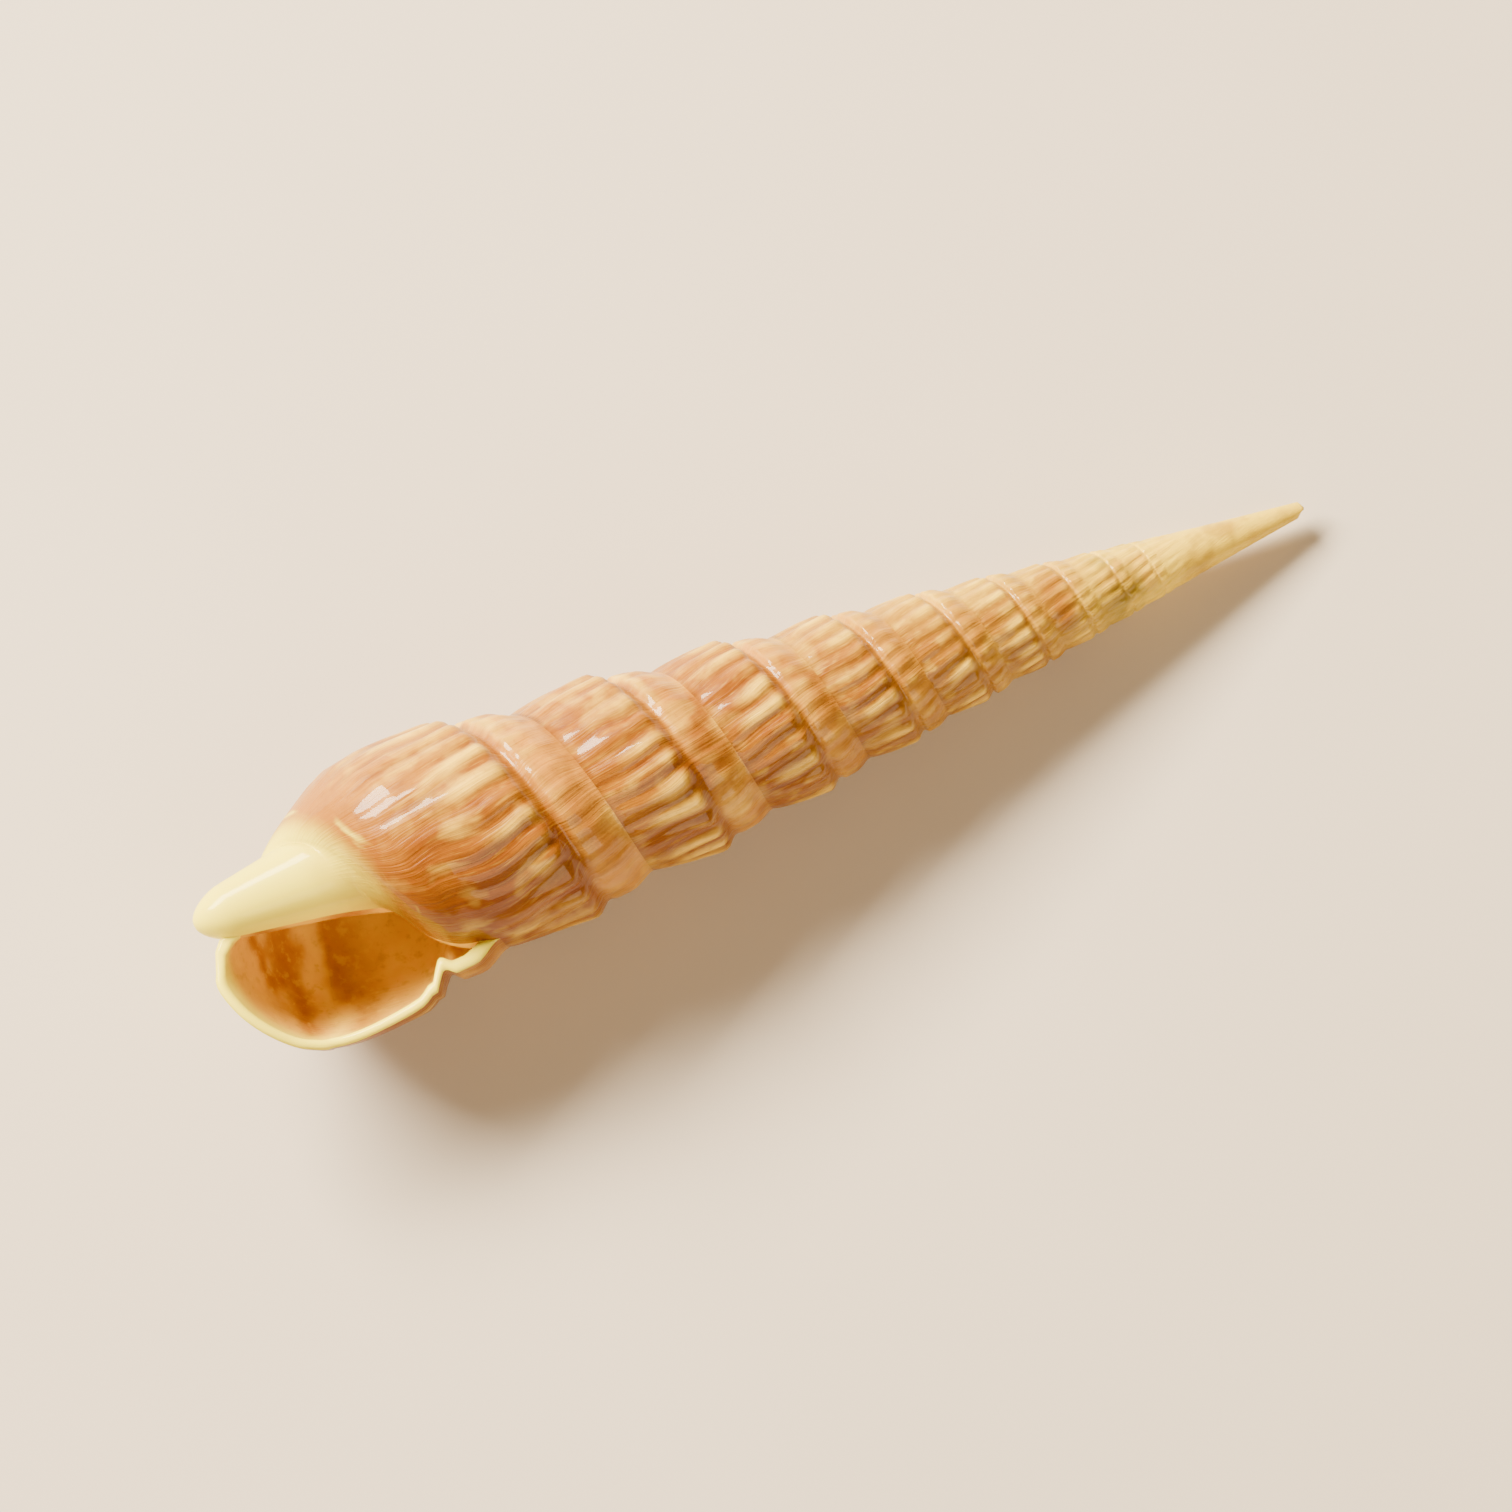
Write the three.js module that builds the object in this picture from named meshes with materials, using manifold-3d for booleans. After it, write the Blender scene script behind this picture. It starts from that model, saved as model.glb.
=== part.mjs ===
// Auger shell, one slender right-handed spiral shell lying on its back with its mouth up.
// Lengths are in millimetres. The floor is z = 0, and the spire points along +X.
import * as THREE from "three";
import { mergeVertices } from "three/addons/utils/BufferGeometryUtils.js";
import Module from "manifold-3d";

// Driving sizes of the whole shell

// Length along the axis where the winding closes up, and how far the last seam lies from it
const WINDING_END = 50.5;
const SEAM_REACH = 34.98;
// Growth of the seam's reach per turn, on the ribbed whorls and on the smooth tip
const GROWTH = 0.1948;
const TIP_GROWTH = 0.145;
// Turn where the tip's slower growth starts, counted back from the last whorl's left side
const TIP_JOIN = -9;
// Turn where the outer lip ends, and the turn of the blunt tip
const LIP_TURN = 0.575;
const FIRST_TURN = -17.3;
// The spire's outline: the cone's point and the three numbers of its swelling sides
const CONE_POINT = 52.74;
const CONE_SLOPE = 0.1147;
const CONE_SWELL = 0.00221;
const CONE_TUCK = 0.0000474;

// Relief of one whorl, as parts of the radius
const SEAM_DEPTH = 0.135;
const GROOVE_DEPTH = 0.125;
const BAND_DEPTH = 0.066;
// Places across a whorl, from its seam at 0 to the next seam at 1
const BAND_CREST = 0.17;
const BAND_EDGE = 0.265;
const GROOVE = 0.324;
const SHOULDER = 0.43;

// Ribs around one turn, their height on a whorl of 5 mm radius and their lean in turns
const COLUMNS = 40;
const RIB_HEIGHT = 0.17;
const LEAN_COLUMNS = 2;
const LEAN = LEAN_COLUMNS / COLUMNS;

// The base under the last whorl beside the mouth: place across, and radius as a part of the cone's
const MOUTH_KEYS = [
  [1.12, 0.865],
  [1.19, 0.85],
  [1.27, 0.82],
  [1.36, 0.755],
  [1.43, 0.67],
  [1.48, 0.57],
  [1.495, 0.53],
];
// The same keys half a turn on, where the base draws in more
const BASE_KEYS = [
  [1.12, 0.83],
  [1.19, 0.77],
  [1.27, 0.685],
  [1.36, 0.575],
  [1.43, 0.475],
  [1.48, 0.385],
  [1.495, 0.34],
];
// The same keys at the lip, which flares out and rounds in to the spout
const LIP_KEYS = [
  [1.1, 1.07],
  [1.18, 1.01],
  [1.27, 0.895],
  [1.35, 0.75],
  [1.41, 0.58],
  [1.445, 0.37],
  [1.42, 0.21],
];
// How much the hollow's inner side draws in behind the mouth
const INNER_DRAW = 0.06;
const NECK = 1.505;
const NECK_FILLET = 0.1;
const LIP_FLARE = 0.12;
const BAND_FLARE = 0.085;
const BODY_FULLNESS = 0.9;
// How much shallower the last seam gets just before the lip, and where along the axis
const SEAM_LIFT = 0.05;
const SEAM_LIFT_PLACES = [15.5, 12];

// The spout in front: its length, its widest radius and its offset from the axis
const SPOUT_TIP = 0.0;
const SPOUT_RADIUS = 0.95;
const SPOUT_WIDENS = 0.17;
const SPOUT_ROUND = 1.6;
const SPOUT_OFFSET = 1.0;
const SPOUT_STRAIGHTENS = [5, 14];
// The pillar inside the whorls grows out of the spout and thins again
const PILLAR_THINS = [8.5, 14];
// Where the lip meets the spout, at the end of the open canal
const CANAL_END = 1.15;

// Wall of the last whorl, its thicker band inside and at the lip, and the hollow's depth in columns
const WALL = 0.42;
const BAND_WALL = 0.85;
const LIP_BAND_WALL = 0.5;
const HOLLOW_COLUMNS = 46;

// How the shell lies: its turn about its own axis, its lean, and how deep the flat spots are
const ROLL = 0.177;
const NOD = 0.1112;
const FLAT_DEPTH = 0.12;

const TAU = 2 * Math.PI;
const COVERED = COLUMNS - LEAN_COLUMNS;

function ease(a, b, x) {
  const t = Math.min(Math.max((x - a) / (b - a), 0), 1);
  return t * t * (3 - 2 * t);
}

function mix(a, b, t) {
  return a + (b - a) * t;
}

// Axial place of the seam at a turn
function seamAt(turn) {
  if (turn > TIP_JOIN) {
    return WINDING_END - SEAM_REACH * Math.exp(GROWTH * turn);
  }
  const reach = SEAM_REACH * Math.exp(GROWTH * TIP_JOIN);
  const tipReach = (reach * GROWTH) / TIP_GROWTH;
  return WINDING_END - reach + tipReach - tipReach * Math.exp(TIP_GROWTH * (turn - TIP_JOIN));
}

// Radius of the cone that the shoulders touch
function coneAt(x) {
  const d = CONE_POINT - x;
  return d * (CONE_SLOPE + CONE_SWELL * d - CONE_TUCK * d * d);
}

function placeAt(turn, across) {
  const seam = seamAt(turn);
  const next = seamAt(turn + 1 - LEAN);
  return mix(seam, next, across);
}

// How far the lip's flare has come at a turn
function flareAt(turn) {
  return ease(-0.08, LIP_TURN + 0.02, turn);
}

// Radius across one whorl as a part of the cone's
function reliefAt(turn, across, x) {
  const d = CONE_POINT - x;
  const lift = SEAM_LIFT * ease(SEAM_LIFT_PLACES[0], SEAM_LIFT_PLACES[1], x);
  const seam = 0.99 - (SEAM_DEPTH - 0.01) * ease(4, 33, d) + lift;
  const crest = 1 - BAND_DEPTH * ease(15, 30, d);
  const groove = 1 - GROOVE_DEPTH * ease(4, 24, d);
  const flare = flareAt(turn);
  const topOfBand = crest + flare * BAND_FLARE;
  if (across <= BAND_CREST) {
    return mix(seam, topOfBand, ease(0, BAND_CREST, across));
  }
  if (across <= BAND_EDGE) {
    return topOfBand;
  }
  if (across <= GROOVE) {
    const t = ease(BAND_EDGE, GROOVE, across);
    return mix(topOfBand, groove + flare * 0.085, t);
  }
  if (across <= SHOULDER) {
    const t = ease(GROOVE, SHOULDER, across);
    return mix(groove + flare * 0.085, 1 + flare * 0.09, t);
  }
  const full = mix(1, BODY_FULLNESS, ((across - SHOULDER) / (1 - SHOULDER)) ** 2);
  const tucked = mix(1, seam, ((across - SHOULDER) / (1 - SHOULDER)) ** 1.3);
  const body = ease(LIP_TURN - 1 + LEAN, -0.1, turn);
  const out = LIP_FLARE * flare * ease(SHOULDER - 0.12, SHOULDER + 0.1, across);
  const rise = flare * 0.09 * ease(SHOULDER, 1, across);
  return mix(tucked, full, body) + out + rise;
}

// Ribs stand on every second column
function ribAt(column, across, radius) {
  const side = column % 2 === 0 ? 1 : -1;
  const faded = 1 - 0.75 * ease(1, 1.35, across);
  const zone = across < GROOVE ? 1 - ease(0, 0.07, across) : ease(GROOVE, SHOULDER, across) * faded;
  const band = 0.35 * ease(0, 0.1, across) * (1 - ease(BAND_EDGE, GROOVE, across));
  const worn = ease(1.0, 1.9, radius);
  return side * 0.5 * RIB_HEIGHT * (radius / 5) * (zone + band) * worn;
}

// The spout's radius and offset at an axial place
function spoutRadius(x) {
  const inFront = 1 - Math.min(Math.max((x - SPOUT_TIP) / SPOUT_ROUND, 0), 1);
  const round = Math.sqrt(1 - inFront * inFront);
  const thin = 1 - 0.6 * ease(PILLAR_THINS[0], PILLAR_THINS[1], x);
  return (SPOUT_RADIUS + SPOUT_WIDENS * Math.min(x, PILLAR_THINS[1])) * round * thin;
}

function spoutOffset(x) {
  return SPOUT_OFFSET * (1 - ease(SPOUT_STRAIGHTENS[0], SPOUT_STRAIGHTENS[1], x));
}

// Angle of a point in turns: the columns lean, and close up again around the spout
function angleAt(turn, across, closing) {
  const lean = -LEAN * Math.min(across, 1.2);
  return turn + lean + (closing * LEAN * (turn - LIP_TURN + 1 - LEAN)) / (1 - LEAN);
}

// A point from its axial place, radius and angle, with the spout's offset folded in
function pointAt(x, radius, angle) {
  const near = spoutRadius(x);
  const share = 1 - ease(near, 2.6 * near + 0.01, radius);
  const phi = -TAU * (angle + 0.25);
  const front = radius * Math.cos(phi);
  const side = radius * Math.sin(phi) - spoutOffset(x) * share;
  const snap = (v) => Math.round(v * 1e5) / 1e5;
  return new THREE.Vector3(snap(x), snap(front), snap(side));
}

const turnOf = (column) => LIP_TURN + column / COLUMNS;

// A point of the outer face between two seams, column 0 being the lip
function whorlPoint(column, across) {
  const turn = turnOf(column);
  const x = placeAt(turn, across);
  const cone = coneAt(x);
  const radius = cone * reliefAt(turn, across, x);
  return { x, radius: radius + ribAt(column, across, cone), angle: angleAt(turn, across, 0) };
}

// The base's keys, on the way from the body's outline to the lip's
function basePoint(column, key) {
  const turn = turnOf(column);
  const flare = flareAt(turn);
  const across = mix(BASE_KEYS[key][0], LIP_KEYS[key][0], flare);
  const mouthTurn = LIP_TURN - 1 + LEAN;
  const inside = MOUTH_KEYS[key][1] - INNER_DRAW * ease(0, 0.15, mouthTurn - turn);
  const leftSide = mix(inside, BASE_KEYS[key][1], ease(mouthTurn, 0, turn));
  const part = mix(leftSide, LIP_KEYS[key][1], flare);
  const x = placeAt(turn, across);
  const radius = coneAt(x) * part;
  const closing = (key + 1) / (BASE_KEYS.length + 1);
  return { x, radius: radius + ribAt(column, across, radius), angle: angleAt(turn, across, closing) };
}

function neckPlace(column) {
  const turn = turnOf(column);
  const x = placeAt(turn, NECK + NECK_FILLET * ease(-0.05, -0.25, turn));
  const free = Math.max(x, CANAL_END + 0.001);
  return mix(free, CANAL_END, ease(LIP_TURN - 0.35, LIP_TURN, turn));
}

// A point on the spout or on the pillar inside, which are one round stem
function stemPoint(column, x) {
  const turn = turnOf(column);
  return { x, radius: spoutRadius(x), angle: angleAt(turn, NECK, 1) };
}

const SPIRE_ROWS = [0, 0.08, 0.26, GROOVE, SHOULDER, 0.7];
const HOLLOW_ROWS = [0.2, 0.28, 0.35, 0.46, 0.7, 1];
const TIP_ROWS = [0, 0.5];
const STEM_ROWS = [0.3, 0.65, 0.93, 1];
const SPOUT_ROWS = [0.35, 0.65, 0.88];
const CORNER_STEM = 0.93;

function spireColumn(column) {
  const turn = turnOf(column);
  const rows = turn < TIP_JOIN ? TIP_ROWS : SPIRE_ROWS;
  return [...rows, 1].map((v) => whorlPoint(column, v));
}

function baseColumn(column) {
  const keys = BASE_KEYS.map((key, i) => basePoint(column, i));
  const neck = neckPlace(column);
  return [...keys, stemPoint(column, neck)];
}

function stemColumn(column) {
  const neck = neckPlace(column);
  const down = STEM_ROWS.map((f) => stemPoint(column, mix(neck, CANAL_END, f)));
  const front = SPOUT_ROWS.map((f) => stemPoint(column, mix(CANAL_END, SPOUT_TIP, f)));
  return [...down, ...front];
}

// The hollow's inner end at a column, on the stem above the neck
function hollowEnd(column) {
  if (column === 0) {
    const inner = neckPlace(-COVERED);
    return mix(inner, CANAL_END, CORNER_STEM);
  }
  const atLip = mix(neckPlace(-COVERED), CANAL_END, CORNER_STEM);
  const lifted = neckPlace(column) + WALL;
  return mix(lifted, Math.max(atLip, lifted), ease(-8, 0, column));
}

// The hollow's outer wall: the outer face set inwards by the wall
function hollowColumn(column) {
  const sides = HOLLOW_ROWS.map((v) => {
    const p = whorlPoint(column, v);
    const thick = mix(BAND_WALL, LIP_BAND_WALL, ease(0.2, 0.5, turnOf(column)));
    const wall = mix(thick, WALL, ease(BAND_EDGE, SHOULDER + 0.02, v));
    return { ...p, radius: p.radius - ribAt(column, v, coneAt(p.x)) - wall };
  });
  const base = [whorlPoint(column, 1), ...baseColumn(column)];
  const set = base.slice(1, -1).map((p, i) => {
    const dx = base[i + 2].x - base[i].x;
    const dr = base[i + 2].radius - base[i].radius;
    const long = Math.hypot(dx, dr);
    return { x: p.x - (WALL * dr) / long, radius: p.radius + (WALL * dx) / long, angle: p.angle };
  });
  const corner = basePoint(column - COVERED, 0);
  return [corner, ...sides, ...set, stemPoint(column, hollowEnd(column))];
}

// The hollow's inner wall: the base of the whorl before, then the pillar
function pillarColumn(column) {
  const inner = column - COVERED;
  const neck = neckPlace(inner);
  const end = hollowEnd(column);
  const stem = STEM_ROWS.slice(0, 3).map((f) => stemPoint(inner, mix(neck, end, f / CORNER_STEM)));
  return [...baseColumn(inner), ...stem];
}

// Mesh building: triangles between neighbouring lines of points

const corners = [];

function toPoint(p) {
  return pointAt(p.x, p.radius, p.angle);
}

function triangle(a, b, c) {
  const near = 1e-5;
  if (a.distanceTo(b) < near || b.distanceTo(c) < near || c.distanceTo(a) < near) {
    return;
  }
  corners.push(a, b, c);
}

// Fills between two lines that run the same way, also when their counts differ
function band(first, second) {
  let i = 0;
  let j = 0;
  while (i < first.length - 1 || j < second.length - 1) {
    const stepFirst = (i + 1) / (first.length - 1);
    const stepSecond = (j + 1) / (second.length - 1);
    const takeFirst = j === second.length - 1 || (i < first.length - 1 && stepFirst <= stepSecond);
    if (takeFirst) {
      triangle(first[i], second[j], first[i + 1]);
      i += 1;
    } else {
      triangle(first[i], second[j], second[j + 1]);
      j += 1;
    }
  }
}

const firstColumn = Math.round((FIRST_TURN - LIP_TURN) * COLUMNS);

// Whorls from the tip to the lip
for (let c = firstColumn; c < 0; c += 1) {
  band(spireColumn(c).map(toPoint), spireColumn(c + 1).map(toPoint));
}

// Base and spout of the last whorl
const baseLine = (c) => [whorlPoint(c, 1), ...baseColumn(c), ...stemColumn(c)].map(toPoint);
const tip = pointAt(SPOUT_TIP, 0, 0);
for (let c = -COVERED; c < 0; c += 1) {
  const here = baseLine(c);
  const next = baseLine(c + 1);
  band(here, next);
  triangle(here[here.length - 1], next[next.length - 1], tip);
}

// Hollow
for (let c = -HOLLOW_COLUMNS; c < 0; c += 1) {
  band(hollowColumn(c + 1).map(toPoint), hollowColumn(c).map(toPoint));
  band(pillarColumn(c).map(toPoint), pillarColumn(c + 1).map(toPoint));
}
band(pillarColumn(-HOLLOW_COLUMNS).map(toPoint).reverse(), hollowColumn(-HOLLOW_COLUMNS).map(toPoint).reverse());

// Lip between the outer face and the hollow
const lipOuter = [...SPIRE_ROWS, 1].map((v) => whorlPoint(0, v)).concat(baseColumn(0)).map(toPoint);
band(lipOuter, hollowColumn(0).map(toPoint));

// Blunt tip of the spire
const startRing = [];
for (let c = firstColumn; c <= firstColumn + COVERED; c += 1) {
  startRing.push(toPoint(whorlPoint(c, 0)));
}
const startEdge = [...TIP_ROWS, 1].map((v) => toPoint(whorlPoint(firstColumn, v)));
const crown = new THREE.Vector3(startRing[0].x + 0.12, 0, 0);
for (let i = 0; i < startRing.length - 1; i += 1) {
  triangle(startRing[i + 1], startRing[i], crown);
}
for (let i = 0; i < startEdge.length - 1; i += 1) {
  triangle(startEdge[i], startEdge[i + 1], crown);
}

const positions = new Float32Array(corners.length * 3);
corners.forEach((p, i) => p.toArray(positions, i * 3));
const raw = new THREE.BufferGeometry();
raw.setAttribute("position", new THREE.BufferAttribute(positions, 3));
const grown = mergeVertices(raw, 1e-4);

// Lay the shell down and cut the small flat spots that it rests on
grown.rotateX(ROLL + Math.PI / 2);
grown.rotateY(NOD);
grown.computeBoundingBox();
const box = grown.boundingBox;
grown.translate(
  -(box.min.x + box.max.x) / 2,
  -(box.min.y + box.max.y) / 2,
  -box.min.z - FLAT_DEPTH,
);

const wasm = await Module();
wasm.setup();

function solidFrom(geometry) {
  const old = geometry.index.array;
  const kept = [];
  for (let i = 0; i < old.length; i += 3) {
    const [a, b, c] = [old[i], old[i + 1], old[i + 2]];
    if (a !== b && b !== c && c !== a) {
      kept.push(a, b, c);
    }
  }
  return new wasm.Manifold(
    new wasm.Mesh({
      numProp: 3,
      vertProperties: geometry.attributes.position.array,
      triVerts: new Uint32Array(kept),
    }),
  );
}

function geometryFrom(solid) {
  const mesh = solid.getMesh();
  const geometry = new THREE.BufferGeometry();
  geometry.setAttribute("position", new THREE.BufferAttribute(mesh.vertProperties.slice(), 3));
  geometry.setIndex(new THREE.BufferAttribute(mesh.triVerts.slice(), 1));
  return geometry;
}

const block = new THREE.BoxGeometry(80, 40, 10);
block.translate(0, 0, -5);
block.deleteAttribute("normal");
block.deleteAttribute("uv");
const floor = mergeVertices(block, 1e-3);
const shellGeometry = geometryFrom(solidFrom(grown).subtract(solidFrom(floor)));

const shell = new THREE.Mesh(
  shellGeometry,
  new THREE.MeshStandardMaterial({ color: 0xd9a066, roughness: 0.35, metalness: 0 }),
);
shell.name = "shell";

const root = new THREE.Group();
root.add(shell);

export default root;
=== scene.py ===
"""Dresses the auger sea shell: grown surface, coloured finish, floor, light and camera."""

import logging
import math
from dataclasses import dataclass, fields
from enum import Enum
from typing import Callable, Sequence, Union

import bpy
from mathutils import Matrix, Vector


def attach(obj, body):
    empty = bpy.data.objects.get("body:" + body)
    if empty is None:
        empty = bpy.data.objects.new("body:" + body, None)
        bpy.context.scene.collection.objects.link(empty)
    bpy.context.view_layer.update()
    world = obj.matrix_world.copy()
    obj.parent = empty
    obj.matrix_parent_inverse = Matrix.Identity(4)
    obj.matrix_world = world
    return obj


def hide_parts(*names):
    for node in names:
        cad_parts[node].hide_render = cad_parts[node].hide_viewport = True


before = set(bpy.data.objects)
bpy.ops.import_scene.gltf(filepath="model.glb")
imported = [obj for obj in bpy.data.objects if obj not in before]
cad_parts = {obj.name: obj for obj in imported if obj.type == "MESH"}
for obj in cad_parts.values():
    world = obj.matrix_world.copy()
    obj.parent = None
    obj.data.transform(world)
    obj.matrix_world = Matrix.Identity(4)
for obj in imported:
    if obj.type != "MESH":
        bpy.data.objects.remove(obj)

LOG = logging.getLogger("shell")
MM = 0.001
TAU = 2 * math.pi
# The part of a turn that faces the window's light
SUNNY_TURN = 0.12


class Side(Enum):
    """Which face of the shell's wall a sheet belongs to."""

    OUTSIDE = 0.0
    HOLLOW = 1.0


class Mark(Enum):
    """The numbers that the grown surface carries for its colours."""

    TURN = "turn"
    ACROSS = "across"
    RIB = "rib"
    ALONG = "along"
    HOLLOW = "hollow"
    RIM = "rim"


# Node trees


class Value:
    """A number inside a node tree that sums, products and powers can be written with."""

    def __init__(self, maker: "Maker", socket: bpy.types.NodeSocket) -> None:
        """Keeps what it is made from.

        Args:
            maker: the tree that the number lives in.
            socket: the output that carries it.
        """
        self.maker = maker
        self.socket = socket

    def __add__(self, other: "Number") -> "Value":
        """This number plus another."""
        return self.maker.math("ADD", self, other)

    def __radd__(self, other: "Number") -> "Value":
        """Another number plus this."""
        return self.maker.math("ADD", other, self)

    def __sub__(self, other: "Number") -> "Value":
        """This number less another."""
        return self.maker.math("SUBTRACT", self, other)

    def __rsub__(self, other: "Number") -> "Value":
        """Another number less this."""
        return self.maker.math("SUBTRACT", other, self)

    def __mul__(self, other: "Number") -> "Value":
        """This number times another."""
        return self.maker.math("MULTIPLY", self, other)

    def __rmul__(self, other: "Number") -> "Value":
        """Another number times this."""
        return self.maker.math("MULTIPLY", other, self)

    def __truediv__(self, other: "Number") -> "Value":
        """This number over another."""
        return self.maker.math("DIVIDE", self, other)

    def __rtruediv__(self, other: "Number") -> "Value":
        """Another number over this."""
        return self.maker.math("DIVIDE", other, self)

    def __pow__(self, other: "Number") -> "Value":
        """This number to the power of another."""
        return self.maker.math("POWER", self, other)


Number = Union[Value, float, int]


def linear(colour: str) -> tuple[float, float, float, float]:
    """Turns an sRGB hex colour into linear light.

    Args:
        colour: the colour as #rrggbb.

    Returns:
        Red, green, blue and alpha in linear light.
    """
    parts = [int(colour[i : i + 2], 16) / 255 for i in (1, 3, 5)]
    light = [p / 12.92 if p <= 0.04045 else ((p + 0.055) / 1.055) ** 2.4 for p in parts]
    return (light[0], light[1], light[2], 1.0)


class Maker:
    """Adds nodes to one tree, for shapes and for finishes alike."""

    def __init__(self, tree: bpy.types.NodeTree) -> None:
        """Keeps what it is made from.

        Args:
            tree: the node tree that grows.
        """
        self.tree = tree

    def add(self, kind: str, inputs: dict | None = None, **settings: object) -> bpy.types.Node:
        """Adds one node, sets it and links its inputs.

        Args:
            kind: Blender's name of the node type.
            inputs: values or outputs by the input's name or number.
            settings: the node's own settings.

        Returns:
            The new node.
        """
        node = self.tree.nodes.new(kind)
        for name, setting in settings.items():
            setattr(node, name, setting)
        for name, value in (inputs or {}).items():
            socket = node.inputs[name]
            if isinstance(value, Value):
                self.tree.links.new(value.socket, socket)
            elif isinstance(value, bpy.types.NodeSocket):
                self.tree.links.new(value, socket)
            else:
                socket.default_value = value
        return node

    def math(self, operation: str, *values: Number) -> Value:
        """One sum, product or function of numbers.

        Args:
            operation: Blender's name of the operation.
            values: its operands.

        Returns:
            The result.
        """
        node = self.add("ShaderNodeMath", dict(enumerate(values)), operation=operation)
        return Value(self, node.outputs[0])

    def ease(self, start: Number, end: Number, value: Number) -> Value:
        """A smooth step from 0 at start to 1 at end.

        Args:
            start: where the step begins.
            end: where it is done, on either side of start.
            value: the number that steps.

        Returns:
            The step's height.
        """
        inputs = {"Value": value, "From Min": start, "From Max": end}
        node = self.add("ShaderNodeMapRange", inputs, interpolation_type="SMOOTHSTEP")
        return Value(self, node.outputs[0])

    def mix(self, first: Number, second: Number, share: Number) -> Value:
        """Part of the way from one number to another.

        Args:
            first: the number at share 0.
            second: the number at share 1.
            share: how far along.

        Returns:
            The number between.
        """
        inputs = {0: share, 2: first, 3: second}
        node = self.add("ShaderNodeMix", inputs, data_type="FLOAT", clamp_factor=False)
        return Value(self, node.outputs[0])

    def hill(self, centre: float, width: float, value: Value) -> Value:
        """A smooth bump of height 1.

        Args:
            centre: where it stands.
            width: how far it reaches to each side.
            value: the number along it.

        Returns:
            The bump's height.
        """
        return self.ease(width, 0.0, self.math("ABSOLUTE", value - centre))

    def point(self, x: Number, y: Number, z: Number) -> bpy.types.NodeSocket:
        """Joins three numbers to one point.

        Args:
            x: first part.
            y: second part.
            z: third part.

        Returns:
            The point's output.
        """
        return self.add("ShaderNodeCombineXYZ", {0: x, 1: y, 2: z}).outputs[0]

    def noise(
        self, place: bpy.types.NodeSocket, scale: Number = 1.0, detail: float = 2.0, rough: float = 0.5
    ) -> Value:
        """Smooth noise between 0 and 1.

        Args:
            place: the point that it is read at.
            scale: bumps per unit length.
            detail: how many finer layers.
            rough: how strong the finer layers are.

        Returns:
            The noise.
        """
        inputs = {"Vector": place, "Scale": scale, "Detail": detail, "Roughness": rough}
        return Value(self, self.add("ShaderNodeTexNoise", inputs).outputs[0])

    def blotches(
        self, place: bpy.types.NodeSocket, size: float, detail: float = 2.0, rough: float = 0.5
    ) -> Value:
        """Smooth noise whose blotches have a real size.

        Args:
            place: the point on the object, in metres.
            size: the width of one blotch in millimetres.
            detail: how many finer layers.
            rough: how strong the finer layers are.

        Returns:
            The noise, between 0 and 1.
        """
        return self.noise(place, 1 / (size * MM), detail, rough)

    def blend(
        self, first: bpy.types.NodeSocket, second: bpy.types.NodeSocket, share: Number
    ) -> bpy.types.NodeSocket:
        """Part of the way from one point to another.

        Args:
            first: the point at share 0.
            second: the point at share 1.
            share: how far along.

        Returns:
            The point between.
        """
        return self.add("ShaderNodeMix", {0: share, 4: first, 5: second}, data_type="VECTOR").outputs[1]

    def colour(self, first: object, second: object, share: Number) -> bpy.types.NodeSocket:
        """Part of the way from one colour to another.

        Args:
            first: colour or output at share 0.
            second: colour or output at share 1.
            share: how far along.

        Returns:
            The colour's output.
        """
        picked = [linear(c) if isinstance(c, str) else c for c in (first, second)]
        node = self.add("ShaderNodeMix", {0: share, 6: picked[0], 7: picked[1]}, data_type="RGBA")
        return node.outputs[2]


# The shell's sizes, in millimetres


@dataclass(frozen=True)
class Winding:
    """How the whorls wind up the axis, x pointing at the apex."""

    winding_end: float = 50.5
    seam_reach: float = 34.98
    growth: float = 0.1948
    tip_growth: float = 0.145
    tip_join: float = -9.0
    lip_turn: float = 0.575
    first_turn: float = -17.3
    lean: float = 0.05
    blunt_end: float = 0.12


@dataclass(frozen=True)
class Outline:
    """The cone that the shoulders touch, and the relief of one whorl as parts of its radius.

    The fields that end in from and at say where along the axis a part of the relief comes in.
    """

    cone_point: float = 52.74
    cone_slope: float = 0.1147
    cone_swell: float = 0.00221
    cone_tuck: float = 0.0000474
    seam_depth: float = 0.135
    groove_depth: float = 0.125
    band_depth: float = 0.066
    band_crest: float = 0.17
    band_edge: float = 0.265
    groove: float = 0.324
    shoulder: float = 0.43
    seam_lift: float = 0.05
    lift_from: float = 15.5
    lifted_at: float = 12.0
    body_fullness: float = 0.9
    relief_from: float = 4.0
    seam_deep_at: float = 33.0
    groove_deep_at: float = 24.0
    band_from: float = 15.0
    band_deep_at: float = 30.0
    least_seam: float = 0.01
    shaded_groove: float = 0.4
    lower_tuck: float = 1.3


@dataclass(frozen=True)
class Ribs:
    """Ribs along the axis: how many on a turn, how high on a whorl of 5 mm radius, how uneven."""

    ribs_per_turn: float = 20.0
    rib_gain: float = 0.7
    rib_height: float = 0.16
    rib_wander: float = 1.0
    wanders_per_mm: float = 0.28
    knobs_per_mm: float = 0.7
    closer_from: float = -5.0
    at_radius: float = 5.0
    by_radius: float = 0.75
    flank: float = 1.5
    least_height: float = 0.45
    uneven_height: float = 0.95
    under_mouth: float = 0.3
    lower_fade: float = 0.35
    shoulder_knob: float = 0.4
    over_band: float = 0.55
    over_high_band: float = 0.4
    smooth_lip: float = 0.7


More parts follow.
